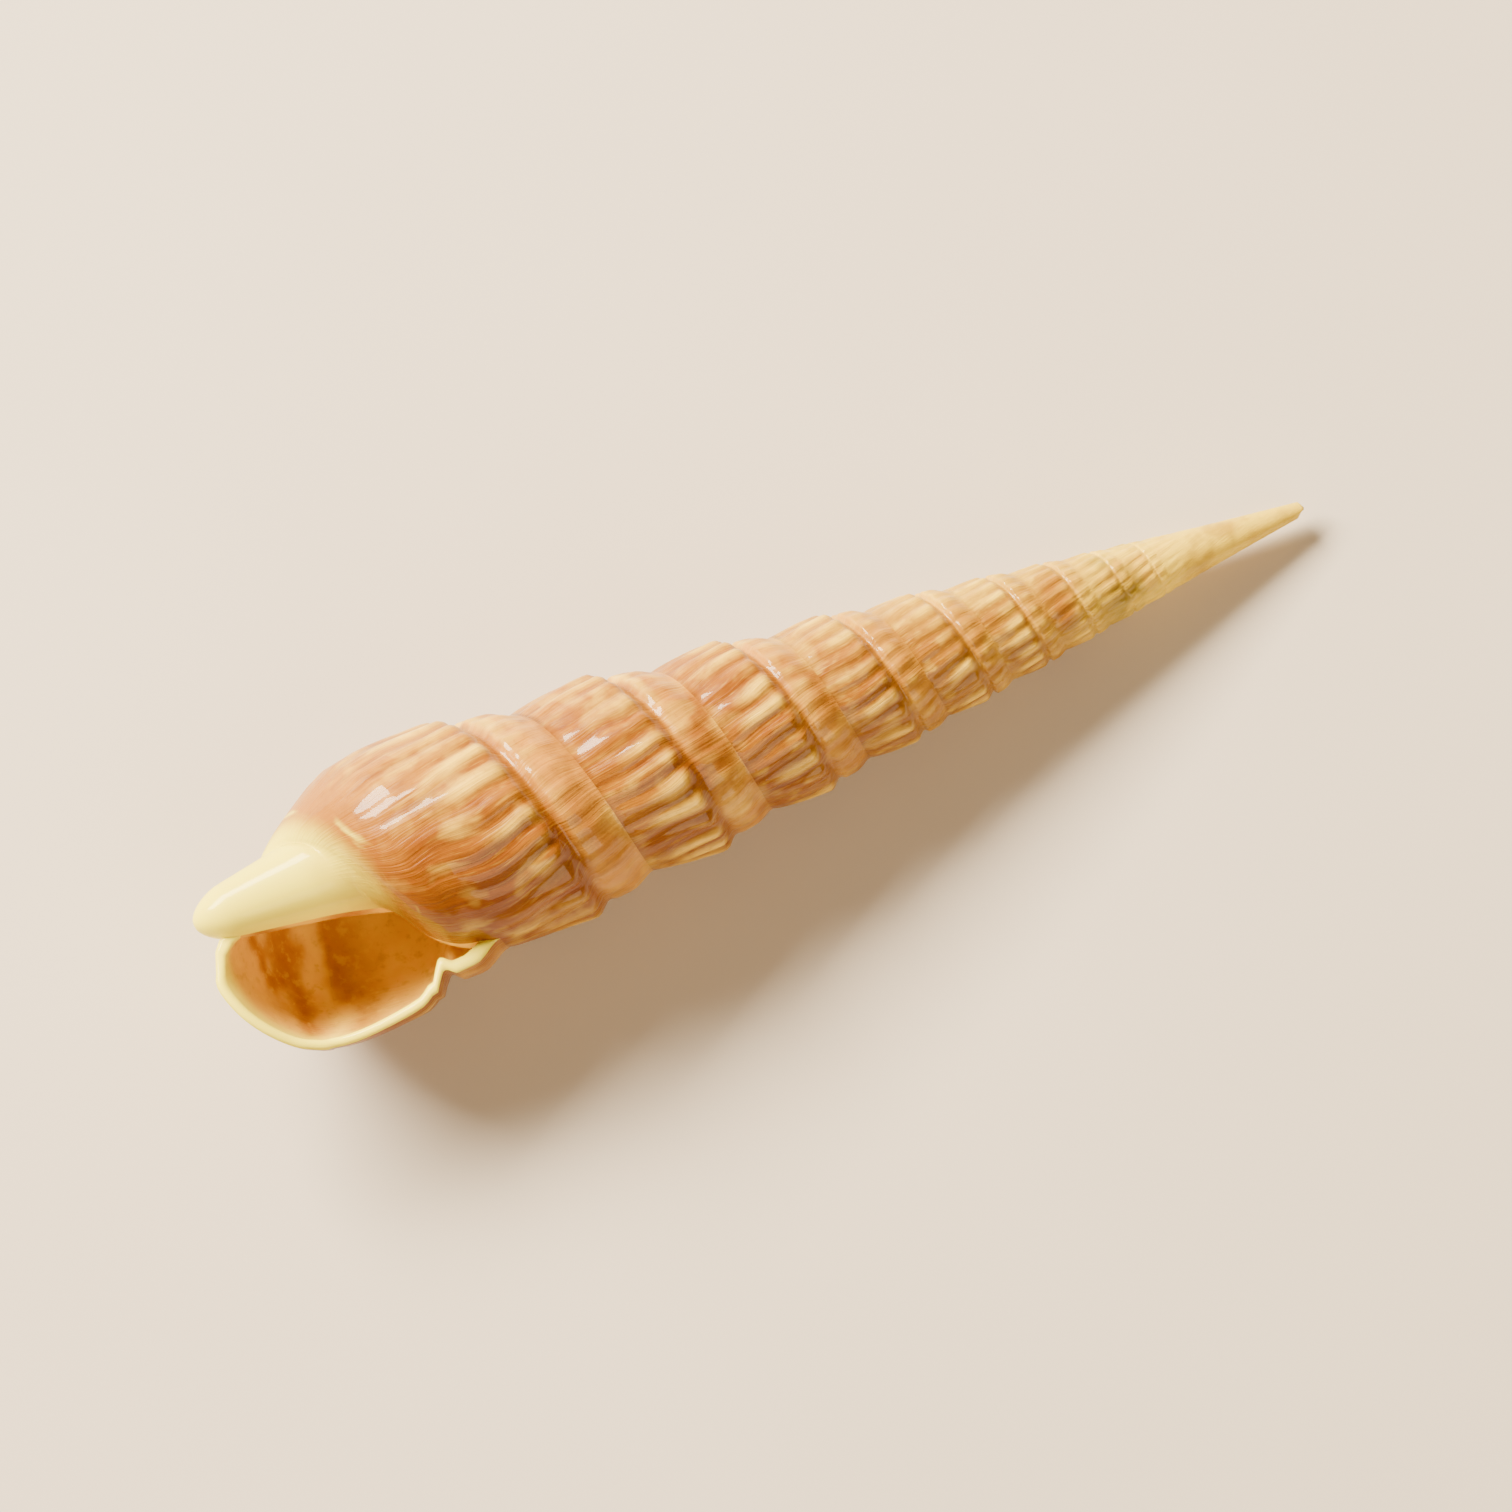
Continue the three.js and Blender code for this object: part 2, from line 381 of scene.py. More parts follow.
@dataclass(frozen=True)
class Mouth:
    """The flaring lip, the spout in front, the pillar inside and the wall between them."""

    lip_flare: float = 0.12
    band_flare: float = 0.085
    rim_flare: float = 0.09
    inner_draw: float = 0.06
    neck: float = 1.505
    neck_fillet: float = 0.1
    spout_radius: float = 0.95
    spout_widens: float = 0.17
    spout_round: float = 1.6
    spout_offset: float = 1.0
    canal_end: float = 1.15
    wall: float = 0.42
    band_wall: float = 0.85
    lip_band_wall: float = 0.5
    rim_round: float = 0.1


@dataclass(frozen=True)
class Keys:
    """Points across the base under the last whorl: place across, and radius as a part of the cone's."""

    across: tuple[float, ...] = (1.12, 1.19, 1.27, 1.36, 1.43, 1.48, 1.495)
    at_mouth: tuple[float, ...] = (0.865, 0.85, 0.82, 0.755, 0.67, 0.57, 0.53)
    at_left: tuple[float, ...] = (0.83, 0.77, 0.685, 0.575, 0.475, 0.385, 0.34)
    lip_across: tuple[float, ...] = (1.1, 1.18, 1.27, 1.35, 1.41, 1.445, 1.42)
    at_lip: tuple[float, ...] = (1.07, 1.01, 0.895, 0.75, 0.58, 0.37, 0.21)
    neck_across: float = 1.505
    lip_neck_across: float = 1.4
    mouth_ends: tuple[float, float] = (0.88, 0.4)
    left_ends: tuple[float, float] = (0.88, 0.3)
    lip_ends: tuple[float, float] = (1.11, 0.1)
    edge_step: float = 0.125


@dataclass(frozen=True)
class Lay:
    """How the shell lies on its back: turn about its axis, lean, and shift from the axis's own frame."""

    roll: float = 0.177
    nod: float = 0.1112
    shift: tuple[float, float, float] = (-24.93044, 0.40163, 6.54667)

    def matrix(self) -> Matrix:
        """The move from the axis's frame to the floor's.

        Returns:
            A 4 by 4 matrix in millimetres.
        """
        turn = Matrix.Rotation(self.nod, 4, "Y") @ Matrix.Rotation(self.roll + math.pi / 2, 4, "X")
        return Matrix.Translation(Vector(self.shift)) @ turn


def through(keys: Sequence[float], start: float, end: float, steps: Sequence[float]) -> list[float]:
    """Reads a smooth curve through evenly spaced keys.

    Args:
        keys: the heights between the two ends.
        start: the height at step 0.
        end: the height at step 1.
        steps: where to read, from 0 to 1.

    Returns:
        The height at each step.
    """
    heights = [start, *keys, end]
    last = len(heights) - 1
    found = []
    for step in steps:
        at = min(step * last, last - 1e-9)
        i = int(at)
        t = at - i
        before = heights[i - 1] if i > 0 else 2 * heights[0] - heights[1]
        after = heights[i + 2] if i + 2 <= last else 2 * heights[last] - heights[last - 1]
        a, b = heights[i], heights[i + 1]
        found.append(
            b * t * t * (3 - 2 * t)
            + a * (1 - t * t * (3 - 2 * t))
            + (b - before) / 2 * (t**3 - 2 * t * t + t)
            + (after - a) / 2 * (t**3 - t * t)
        )
    return found


def spread(*stretches: tuple[float, float, int]) -> list[float]:
    """Rows from several stretches, each evenly divided.

    Args:
        stretches: first place, last place and number of steps of each stretch.

    Returns:
        The rows' places, each once.
    """
    rows = [stretches[0][0]]
    for first, last, count in stretches:
        rows += [first + (last - first) * (i + 1) / count for i in range(count)]
    return rows


@dataclass(frozen=True)
class Mesh:
    """How finely the surface is divided."""

    columns: int = 160
    weld: float = 0.0015
    corner_share: float = 0.2
    slope_step: float = 0.03
    stem_inside: float = 0.93
    hollow_turns: float = 1.15
    whorl_rows: tuple[float, ...] = tuple(
        spread(
            (0.0, 0.06, 2),
            (0.06, 0.18, 3),
            (0.18, 0.26, 3),
            (0.26, 0.34, 5),
            (0.34, 0.5, 5),
            (0.5, 1.0, 9),
        )
    )
    tip_rows: tuple[float, ...] = tuple(spread((0.0, 1.0, 7)))
    base_rows: tuple[float, ...] = tuple(spread((0.0, 0.125, 3), (0.125, 1.0, 22)))
    stem_rows: tuple[float, ...] = tuple(spread((0.0, 0.93, 9), (0.93, 1.0, 3)))
    spout_rows: tuple[float, ...] = tuple(spread((0.0, 0.6, 5), (0.6, 0.9, 4), (0.9, 1.0, 4)))


@dataclass
class Place:
    """A point of the surface: place along the axis, radius, and angle in turns."""

    x: Value
    radius: Value
    angle: Value


class Sizes:
    """The named sizes of a tree, each an input that is made when it is first asked for."""

    def __init__(
        self, tree: bpy.types.NodeTree, given: bpy.types.Node, numbers: dict[str, float]
    ) -> None:
        """Keeps what it is made from.

        Args:
            tree: the tree that the inputs belong to.
            given: its group input node.
            numbers: the size of each name.
        """
        self.tree = tree
        self.given = given
        self.numbers = numbers
        self.used: dict[str, Value] = {}
        self.maker = Maker(tree)

    def __getitem__(self, name: str) -> Value:
        """One size by name.

        Args:
            name: the size's name.

        Returns:
            The size as a number of the tree.
        """
        if name not in self.used:
            socket = self.tree.interface.new_socket(name, in_out="INPUT", socket_type="NodeSocketFloat")
            socket.default_value = self.numbers[name]
            self.used[name] = Value(self.maker, self.given.outputs[name])
        return self.used[name]


class Growth:
    """The rule that the shell grows by, written as nodes in groups."""

    def __init__(
        self, maker: Maker, sizes: Sizes, keys: Keys, groups: dict[str, bpy.types.NodeTree]
    ) -> None:
        """Keeps what it is made from.

        Args:
            maker: the tree that grows.
            sizes: every named size of the shell as an input of the tree.
            keys: the base's points.
            groups: the groups made so far, by name.
        """
        self.n = maker
        self.s = sizes
        self.keys = keys
        self.groups = groups

    def use(self, name: str, rule: Callable[..., list], **given: Number) -> list:
        """Uses a rule as a node group, which is made the first time.

        Args:
            name: the group's name.
            rule: writes the group's inside from a growth and the inputs, and returns its outputs.
            given: what goes into this use of it.

        Returns:
            The group's outputs, numbers or points.
        """
        if name not in self.groups:
            self.groups[name] = self.group(name, rule, list(given), given)
        tree = self.groups[name]
        node = self.n.add("GeometryNodeGroup", node_tree=tree)
        inputs = [item.name for item in tree.interface.items_tree if item.in_out == "INPUT"]
        for item in inputs:
            number = given[item] if item in given else self.s[item]
            if isinstance(number, Value):
                self.n.tree.links.new(number.socket, node.inputs[item])
            elif isinstance(number, bpy.types.NodeSocket):
                self.n.tree.links.new(number, node.inputs[item])
            else:
                node.inputs[item].default_value = number
        return [out if out.type in ("VECTOR", "GEOMETRY") else Value(self.n, out) for out in node.outputs]

    def choose(self, step: Value, numbers: Sequence[float]) -> Value:
        """Picks the number of a row by its place in a list, which is a group of its own.

        Args:
            step: the row, counted from 0.
            numbers: one number for each row.

        Returns:
            The number of that row.
        """
        name = "rows " + " ".join("%.5f" % number for number in numbers)
        if name not in self.groups:
            tree = bpy.data.node_groups.new("rows", "GeometryNodeTree")
            tree.interface.new_socket("row", in_out="INPUT", socket_type="NodeSocketFloat")
            tree.interface.new_socket("number", in_out="OUTPUT", socket_type="NodeSocketFloat")
            inner = Maker(tree)
            start = inner.add("NodeGroupInput")
            node = inner.add("GeometryNodeIndexSwitch", data_type="FLOAT")
            while len(node.index_switch_items) < len(numbers):
                node.index_switch_items.new()
            for i, number in enumerate(numbers):
                node.inputs[i + 1].default_value = number
            tree.links.new(start.outputs[0], node.inputs[0])
            inner.add("NodeGroupOutput", {0: node.outputs[0]})
            self.groups[name] = tree
        use = self.n.add("GeometryNodeGroup", node_tree=self.groups[name])
        self.n.tree.links.new(step.socket, use.inputs[0])
        return Value(self.n, use.outputs[0])

    def group(
        self, name: str, rule: Callable[..., list], inputs: Sequence[str], given: dict
    ) -> bpy.types.NodeTree:
        """Makes the node group of a rule.

        Args:
            name: the group's name.
            rule: writes its inside.
            inputs: the names of its own inputs.
            given: a first use, which shows what is a point and what a number.

        Returns:
            The group.
        """
        tree = bpy.data.node_groups.new(name, "GeometryNodeTree")
        inner = Maker(tree)
        start = inner.add("NodeGroupInput")
        values = {}
        for item in inputs:
            point = isinstance(given[item], bpy.types.NodeSocket)
            kind = "NodeSocketVector" if point else "NodeSocketFloat"
            tree.interface.new_socket(item, in_out="INPUT", socket_type=kind)
            values[item] = start.outputs[item] if point else Value(inner, start.outputs[item])
        sizes = Sizes(tree, start, self.s.numbers)
        outputs = rule(Growth(inner, sizes, self.keys, self.groups), **values)
        end = inner.add("NodeGroupOutput")
        for i, out in enumerate(outputs):
            socket = out.socket if isinstance(out, Value) else out
            kinds = {"VECTOR": "NodeSocketVector", "GEOMETRY": "NodeSocketGeometry"}
            kind = kinds.get(socket.type, "NodeSocketFloat")
            tree.interface.new_socket("out %d" % (i + 1), in_out="OUTPUT", socket_type=kind)
            tree.links.new(socket, end.inputs[i])
        return tree

    def seam(self, turn: Number) -> Value:
        """Axial place of the seam at a turn.

        Args:
            turn: turns along the winding.

        Returns:
            Millimetres from the spout's end.
        """
        n, s = self.n, self.s
        winding = s["winding_end"] - s["seam_reach"] * n.math("EXPONENT", s["growth"] * turn)
        reach = s["seam_reach"] * n.math("EXPONENT", s["growth"] * s["tip_join"])
        tip_reach = reach * s["growth"] / s["tip_growth"]
        past = (turn - s["tip_join"]) * s["tip_growth"]
        tip = s["winding_end"] - reach + tip_reach - tip_reach * n.math("EXPONENT", past)
        return n.mix(tip, winding, n.math("GREATER_THAN", turn, s["tip_join"]))

    def cone(self, x: Value) -> Value:
        """Radius of the cone at an axial place.

        Args:
            x: millimetres from the spout's end.

        Returns:
            The radius in millimetres.
        """
        s = self.s
        d = s["cone_point"] - x
        return d * (s["cone_slope"] + s["cone_swell"] * d - s["cone_tuck"] * d * d)

    def place(self, turn: Value, across: Number) -> Value:
        """Axial place across a whorl.

        Args:
            turn: turns along the winding.
            across: 0 at the whorl's own seam, 1 at the next.

        Returns:
            Millimetres from the spout's end.
        """
        return self.use("place across a whorl", Growth.place_rule, turn=turn, across=across)[0]

    def place_rule(self, turn: Value, across: Value) -> list:
        """Writes the inside of place's group, from the same numbers.

        Args:
            turn: turns along the winding.
            across: place across the whorl.

        Returns:
            The group's outputs.
        """
        following = turn + (1 - self.s["lean"])
        return [self.n.mix(self.seam(turn), self.seam(following), across)]

    def flare(self, turn: Value) -> Value:
        """How far the lip's flare has come.

        Args:
            turn: turns along the winding.

        Returns:
            0 before the flare, 1 at the lip.
        """
        return self.n.ease(-0.08, self.s["lip_turn"] + 0.02, turn)

    def relief(self, turn: Value, across: Number, x: Value) -> Value:
        """Radius across one whorl as a part of the cone's.

        Args:
            turn: turns along the winding.
            across: 0 at the whorl's own seam, 1 at the next.
            x: axial place.

        Returns:
            The part of the cone's radius.
        """
        return self.use("relief of a whorl", Growth.relief_rule, turn=turn, across=across, x=x)[0]

    def relief_rule(self, turn: Value, across: Value, x: Value) -> list:
        """Writes the inside of relief's group, from the same numbers.

        Args:
            turn: turns along the winding.
            across: place across the whorl.
            x: axial place.

        Returns:
            The group's outputs.
        """
        n, s = self.n, self.s
        d = s["cone_point"] - x
        lift = s["seam_lift"] * n.ease(s["lift_from"], s["lifted_at"], x)
        deep = n.ease(s["relief_from"], s["seam_deep_at"], d)
        seam = 1 - s["least_seam"] - (s["seam_depth"] - s["least_seam"]) * deep + lift
        crest = 1 - s["band_depth"] * n.ease(s["band_from"], s["band_deep_at"], d)
        # The groove is shallower on the shaded side of the whorls above the mouth
        facing = n.math("COSINE", (turn - SUNNY_TURN) * TAU)
        away = n.ease(0.4, -0.6, facing) * n.ease(-0.1, -0.5, turn)
        cut = s["groove_depth"] * n.ease(s["relief_from"], s["groove_deep_at"], d)
        groove = 1 - cut * (1 - s["shaded_groove"] * away)
        flare = self.flare(turn)
        band = crest + flare * s["band_flare"]
        furrow = groove + flare * s["band_flare"]
        rim = 1 + flare * s["rim_flare"]
        upper = n.mix(seam, band, n.ease(0.0, s["band_crest"], across))
        upper = n.mix(upper, furrow, n.ease(s["band_edge"], s["groove"], across))
        upper = n.mix(upper, rim, n.ease(s["groove"], s["shoulder"], across))
        down = n.math("MAXIMUM", (across - s["shoulder"]) / (1 - s["shoulder"]), 0.0)
        full = n.mix(1.0, s["body_fullness"], down * down)
        tucked = n.mix(1.0, seam, down ** s["lower_tuck"])
        body = n.ease(s["lip_turn"] - 1 + s["lean"], -0.1, turn)
        out = s["lip_flare"] * flare * n.ease(s["shoulder"] - 0.12, s["shoulder"] + 0.1, across)
        spread_out = flare * s["rim_flare"] * n.ease(s["shoulder"], 1.0, across)
        lower = n.mix(tucked, full, body) + out + spread_out
        return [n.mix(upper, lower, n.math("GREATER_THAN", across, s["shoulder"]))]

    def rib_phase(self, turn: Value, where: bpy.types.NodeSocket) -> Value:
        """Ribs counted along the winding, with the small unevenness of a grown thing.

        Args:
            turn: turns along the winding.
            where: the place in space, so that it meets itself at the seams.

        Returns:
            The count, whole on the top of a rib.
        """
        n, s = self.n, self.s
        wander = n.noise(where, s["wanders_per_mm"], 1.0) - 0.5
        late = n.math("MAXIMUM", turn - s["closer_from"], 0.0)
        count = (turn - s["lip_turn"]) * s["ribs_per_turn"] + late * late * s["rib_gain"]
        return count + wander * s["rib_wander"]

    def rib(self, turn: Value, across: Number, radius: Value, where: bpy.types.NodeSocket) -> Value:
        """Height of the ribs.

        Args:
            turn: turns along the winding.
            across: 0 at the whorl's own seam, 1 at the next.
            radius: the cone's radius there.
            where: the place in space.

        Returns:
            Millimetres above or below the relief.
        """
        given = {"turn": turn, "across": across, "radius": radius, "where": where}
        return self.use("height of a rib", Growth.rib_rule, **given)[0]

    def rib_rule(self, turn: Value, across: Value, radius: Value, where: bpy.types.NodeSocket) -> list:
        """Writes the inside of rib's group, from the same numbers.

        Args:
            turn: turns along the winding.
            across: place across the whorl.
            radius: the radius there.
            where: the place in space.

        Returns:
            The group's outputs.
        """
        n, s = self.n, self.s
        wave = n.math("COSINE", self.rib_phase(turn, where) * TAU) * 0.5 + 0.5
        side = 1 - 2 * (1 - wave) ** s["flank"]
        uneven = s["least_height"] + s["uneven_height"] * n.noise(where, s["knobs_per_mm"])
        last = n.ease(-0.35, -0.15, turn)
        under = n.ease(-0.45, -0.2, turn) * n.ease(0.55, 0.95, across) * s["under_mouth"]
        ending = n.mix(n.ease(1.0, 0.93, across), n.ease(1.35, 1.05, across), last)
        faded = ending * (1 - under) * (1 - s["lower_fade"] * n.ease(0.6, 0.95, across))
        knob = 1 + s["shoulder_knob"] * n.hill(0.47, 0.14, across)
        zone = n.ease(s["groove"], s["shoulder"], across) * faded * knob
        crossing = s["over_band"] + s["over_high_band"] * n.ease(4.2, 2.6, radius)
        band = crossing * n.ease(0.0, 0.1, across) * n.ease(s["groove"], s["band_edge"], across)
        worn = n.ease(0.9, 1.4, radius)
        flat = 1 - n.ease(0.3, 0.5, turn) * s["smooth_lip"]
        height = s["rib_height"] * 0.5 * (radius / s["at_radius"]) ** s["by_radius"]
        return [side * uneven * height * (zone + band) * worn * flat]

    def spout(self, x: Value) -> Value:
        """Radius of the spout and pillar.

        Args:
            x: axial place.

        Returns:
            The radius in millimetres.
        """
        n, s = self.n, self.s
        front = 1 - n.math("MINIMUM", n.math("MAXIMUM", x / s["spout_round"], 0.0), 1.0)
        rounded = n.math("SQRT", 1 - front * front)
        thin = 1 - 0.6 * n.ease(8.5, 14.0, x)
        return (s["spout_radius"] + s["spout_widens"] * n.math("MINIMUM", x, 14.0)) * rounded * thin

    def angle(self, turn: Value, across: Number, closing: Number) -> Value:
        """Angle of a point in turns.

        Args:
            turn: turns along the winding.
            across: the columns lean with it.
            closing: 1 where the columns close up around the spout.

        Returns:
            The angle in turns.
        """
        n, s = self.n, self.s
        lean = s["lean"] * n.math("MINIMUM", across, 1.2)
        return turn - lean + closing * s["lean"] * (turn - s["lip_turn"] + 1 - s["lean"]) / (1 - s["lean"])

    def laid_out(self, spot: Place) -> bpy.types.NodeSocket:
        """A point in space from its axial place, radius and angle.

        Args:
            spot: the point on the winding.

        Returns:
            The point in the axis's frame.
        """
        given = {"x": spot.x, "radius": spot.radius, "angle": spot.angle}
        return self.use("point in space", Growth.laid_out_rule, **given)[0]

    def laid_out_rule(self, x: Value, radius: Value, angle: Value) -> list:
        """Writes the inside of laid_out's group, from the same numbers.

        Args:
            x: axial place.
            radius: the radius there.
            angle: the angle in turns.

        Returns:
            The group's outputs.
        """
        n, s = self.n, self.s
        near = self.spout(x)
        share = 1 - n.ease(near, near * 2.6 + 0.01, radius)
        offset = s["spout_offset"] * n.ease(14.0, 5.0, x)
        phi = (angle + 0.25) * -TAU
        front = radius * n.math("COSINE", phi)
        side = radius * n.math("SINE", phi) - offset * share
        return [n.point(x, front, side)]

    def on_whorl(self, turn: Number, across: Number, inset: Number = 0.0, ribbed: Number = 1.0) -> Place:
        """A point between two seams.

        Args:
            turn: turns along the winding.
            across: 0 at the whorl's own seam, 1 at the next.
            inset: how far under the outer face.
            ribbed: how much of the ribs shows.

        Returns:
            The point.
        """
        given = {"turn": turn, "across": across, "inset": inset, "ribbed": ribbed}
        return Place(*self.use("point on a whorl", Growth.on_whorl_rule, **given))

    def on_whorl_rule(self, turn: Value, across: Value, inset: Value, ribbed: Value) -> list:
        """Writes the inside of on_whorl's group, from the same numbers.

        Args:
            turn: turns along the winding.
            across: place across the whorl.
            inset: how far under the outer face.
            ribbed: how much of the ribs shows.

        Returns:
            The group's outputs.
        """
        x = self.place(turn, across)
        cone = self.cone(x)
        angle = self.angle(turn, across, 0.0)
        where = self.laid_out(Place(x, cone, angle))
        radius = cone * self.relief(turn, across, x) - inset + self.rib(turn, across, cone, where) * ribbed
        return [x, radius, angle]

    def neck(self, turn: Value) -> Value:
        """Axial place where the base meets the spout's stem.

        Args:
            turn: turns along the winding.

        Returns:
            Millimetres from the spout's end.
        """
        return self.use("neck", Growth.neck_rule, turn=turn)[0]

    def neck_rule(self, turn: Value) -> list:
        """Writes the inside of neck's group, from the same numbers.

        Args:
            turn: turns along the winding.

        Returns:
            The group's outputs.
        """
        n, s = self.n, self.s
        x = self.place(turn, s["neck"] + s["neck_fillet"] * n.ease(-0.05, -0.25, turn))
        free = n.math("MAXIMUM", x, s["canal_end"] + 0.001)
        return [n.mix(free, s["canal_end"], n.ease(s["lip_turn"] - 0.35, s["lip_turn"], turn))]

    def on_base(self, turn: Number, row: Value, steps: Sequence[float], ribbed: Number = 1.0) -> Place:
        """A point of the base, from the whorl's lower edge to the neck.

        Args:
            turn: turns along the winding.
            row: the row, counted from 0.
            steps: each row's place from the edge at 0 to the neck at 1.
            ribbed: how much of the ribs shows.

        Returns:
            The point.
        """
        k = self.keys
        given = {
            "turn": turn,
            "step": self.choose(row, steps),
            "body": self.choose(row, through(k.across, 1.0, k.neck_across, steps)),
            "lip": self.choose(row, through(k.lip_across, 1.0, k.lip_neck_across, steps)),
            "at_mouth": self.choose(row, through(k.at_mouth, *k.mouth_ends, steps)),
            "at_left": self.choose(row, through(k.at_left, *k.left_ends, steps)),
            "at_lip": self.choose(row, through(k.at_lip, *k.lip_ends, steps)),
            "ribbed": ribbed,
        }
        return Place(*self.use("point on the base", Growth.on_base_rule, **given))

    def on_base_rule(
        self,
        turn: Value,
        step: Value,
        body: Value,
        lip: Value,
        at_mouth: Value,
        at_left: Value,
        at_lip: Value,
        ribbed: Value,
    ) -> list:
        """Writes the inside of on_base's group, from the row's numbers.

        Args:
            turn: turns along the winding.
            step: place from the edge at 0 to the neck at 1.
            body: place across where the whorl leans on the one before.
            lip: place across at the lip.
            at_mouth: part of the cone's radius at the mouth's inner side.
            at_left: part of the cone's radius on the far side.
            at_lip: part of the cone's radius at the lip.
            ribbed: how much of the ribs shows.

        Returns:
            The group's outputs.
        """
        n, s = self.n, self.s
        flare = self.flare(turn)
        across = n.mix(body, lip, flare)
        mouth_turn = s["lip_turn"] - 1 + s["lean"]
        inside = at_mouth - s["inner_draw"] * n.ease(0.0, 0.15, mouth_turn - turn)
        left = n.mix(inside, at_left, n.ease(mouth_turn, 0.0, turn))
        part = n.mix(left, at_lip, flare)
        angle = self.angle(turn, across, step)
        first_x = self.place(turn, 1.0)
        neck_x = self.neck(turn)
        to_neck = n.ease(0.82, 1.0, step)
        x = n.mix(self.place(turn, across), neck_x, to_neck)
        cone = self.cone(first_x)
        edge = cone * self.relief(turn, 1.0, first_x)
        radius = n.mix(self.cone(x) * part, edge, n.ease(self.keys.edge_step, 0.0, step))
        radius = n.mix(radius, self.spout(neck_x), to_neck)
        where = self.laid_out(Place(first_x, cone, self.angle(turn, 1.0, 0.0)))
        height = self.rib(turn, n.mix(1.0, across, n.ease(0.0, 0.05, step)), cone, where)
        return [x, radius + height * n.ease(0.7, 0.3, step) * ribbed, angle]

    def on_stem(self, turn: Value, x: Value) -> Place:
        """A point of the spout or of the pillar inside.

        Args:
            turn: turns along the winding.
            x: axial place.

        Returns:
            The point.
        """
        return Place(x, self.spout(x), self.angle(turn, self.s["neck"], 1.0))

    def hollow_end(self, turn: Number) -> Value:
        """Axial place where the hollow's inner end meets the pillar.

        Args:
            turn: turns along the winding.

        Returns:
            Millimetres from the spout's end.
        """
        return self.use("hollow's end", Growth.hollow_end_rule, turn=turn)[0]

    def hollow_end_rule(self, turn: Value) -> list:
        """Writes the inside of hollow_end's group.

        Args:
            turn: turns along the winding.

        Returns:
            The group's outputs.
        """
        n, s = self.n, self.s
        at_lip = n.mix(self.neck(s["lip_turn"] - 1 + s["lean"]), s["canal_end"], 0.93)
        lifted = self.neck(turn) + s["wall"]
        reached = n.mix(lifted, n.math("MAXIMUM", at_lip, lifted), n.ease(-0.2, 0.0, turn - s["lip_turn"]))
        return [n.mix(reached, at_lip, n.math("GREATER_THAN", turn, s["lip_turn"] - 0.001))]


class Sheet:
    """One sheet of the surface: columns along the winding by rows across it."""

    def __init__(
        self, growth: Growth, first: float, last: float, rows: Sequence[float], columns: int
    ) -> None:
        """Keeps what it is made from.

        Args:
            growth: the rule.
            first: the turn of its first column.
            last: the turn of its last column.
            rows: the place of each row.
            columns: columns on one turn.
        """
        self.growth = growth
        self.rows = list(rows)
        n = growth.n
        steps = round((last - first) * columns)
        inputs = {"Size X": 1.0, "Size Y": 1.0, "Vertices X": steps + 1, "Vertices Y": len(self.rows)}
        self.grid = n.add("GeometryNodeMeshGrid", inputs).outputs["Mesh"]
        index = Value(n, n.add("GeometryNodeInputIndex").outputs[0])
        self.column = n.math("FLOOR", (index + 0.5) / len(self.rows))
        self.row = n.math("FLOOR", index - self.column * len(self.rows) + 0.5)
        self.turn = (self.column - steps) / columns + last
        self.place = growth.choose(self.row, self.rows)

    def laid(self, where: bpy.types.NodeSocket, marks: dict[Mark, Number]) -> bpy.types.NodeSocket:
        """Moves the grid's points and writes the marks that the colours are read from.

        Args:
            where: each point's place.
            marks: the number of each mark.

        Returns:
            The sheet.
        """
        n = self.growth.n
        sheet = self.grid
        for mark, number in marks.items():
            if isinstance(number, Value):
                number = n.add("GeometryNodeFieldOnDomain", {0: number}, domain="POINT").outputs[0]
            inputs = {"Geometry": sheet, "Name": mark.value, "Value": number}
            store = n.add("GeometryNodeStoreNamedAttribute", inputs, data_type="FLOAT", domain="CORNER")
            sheet = store.outputs[0]
        return n.add("GeometryNodeSetPosition", {"Geometry": sheet, "Position": where}).outputs[0]


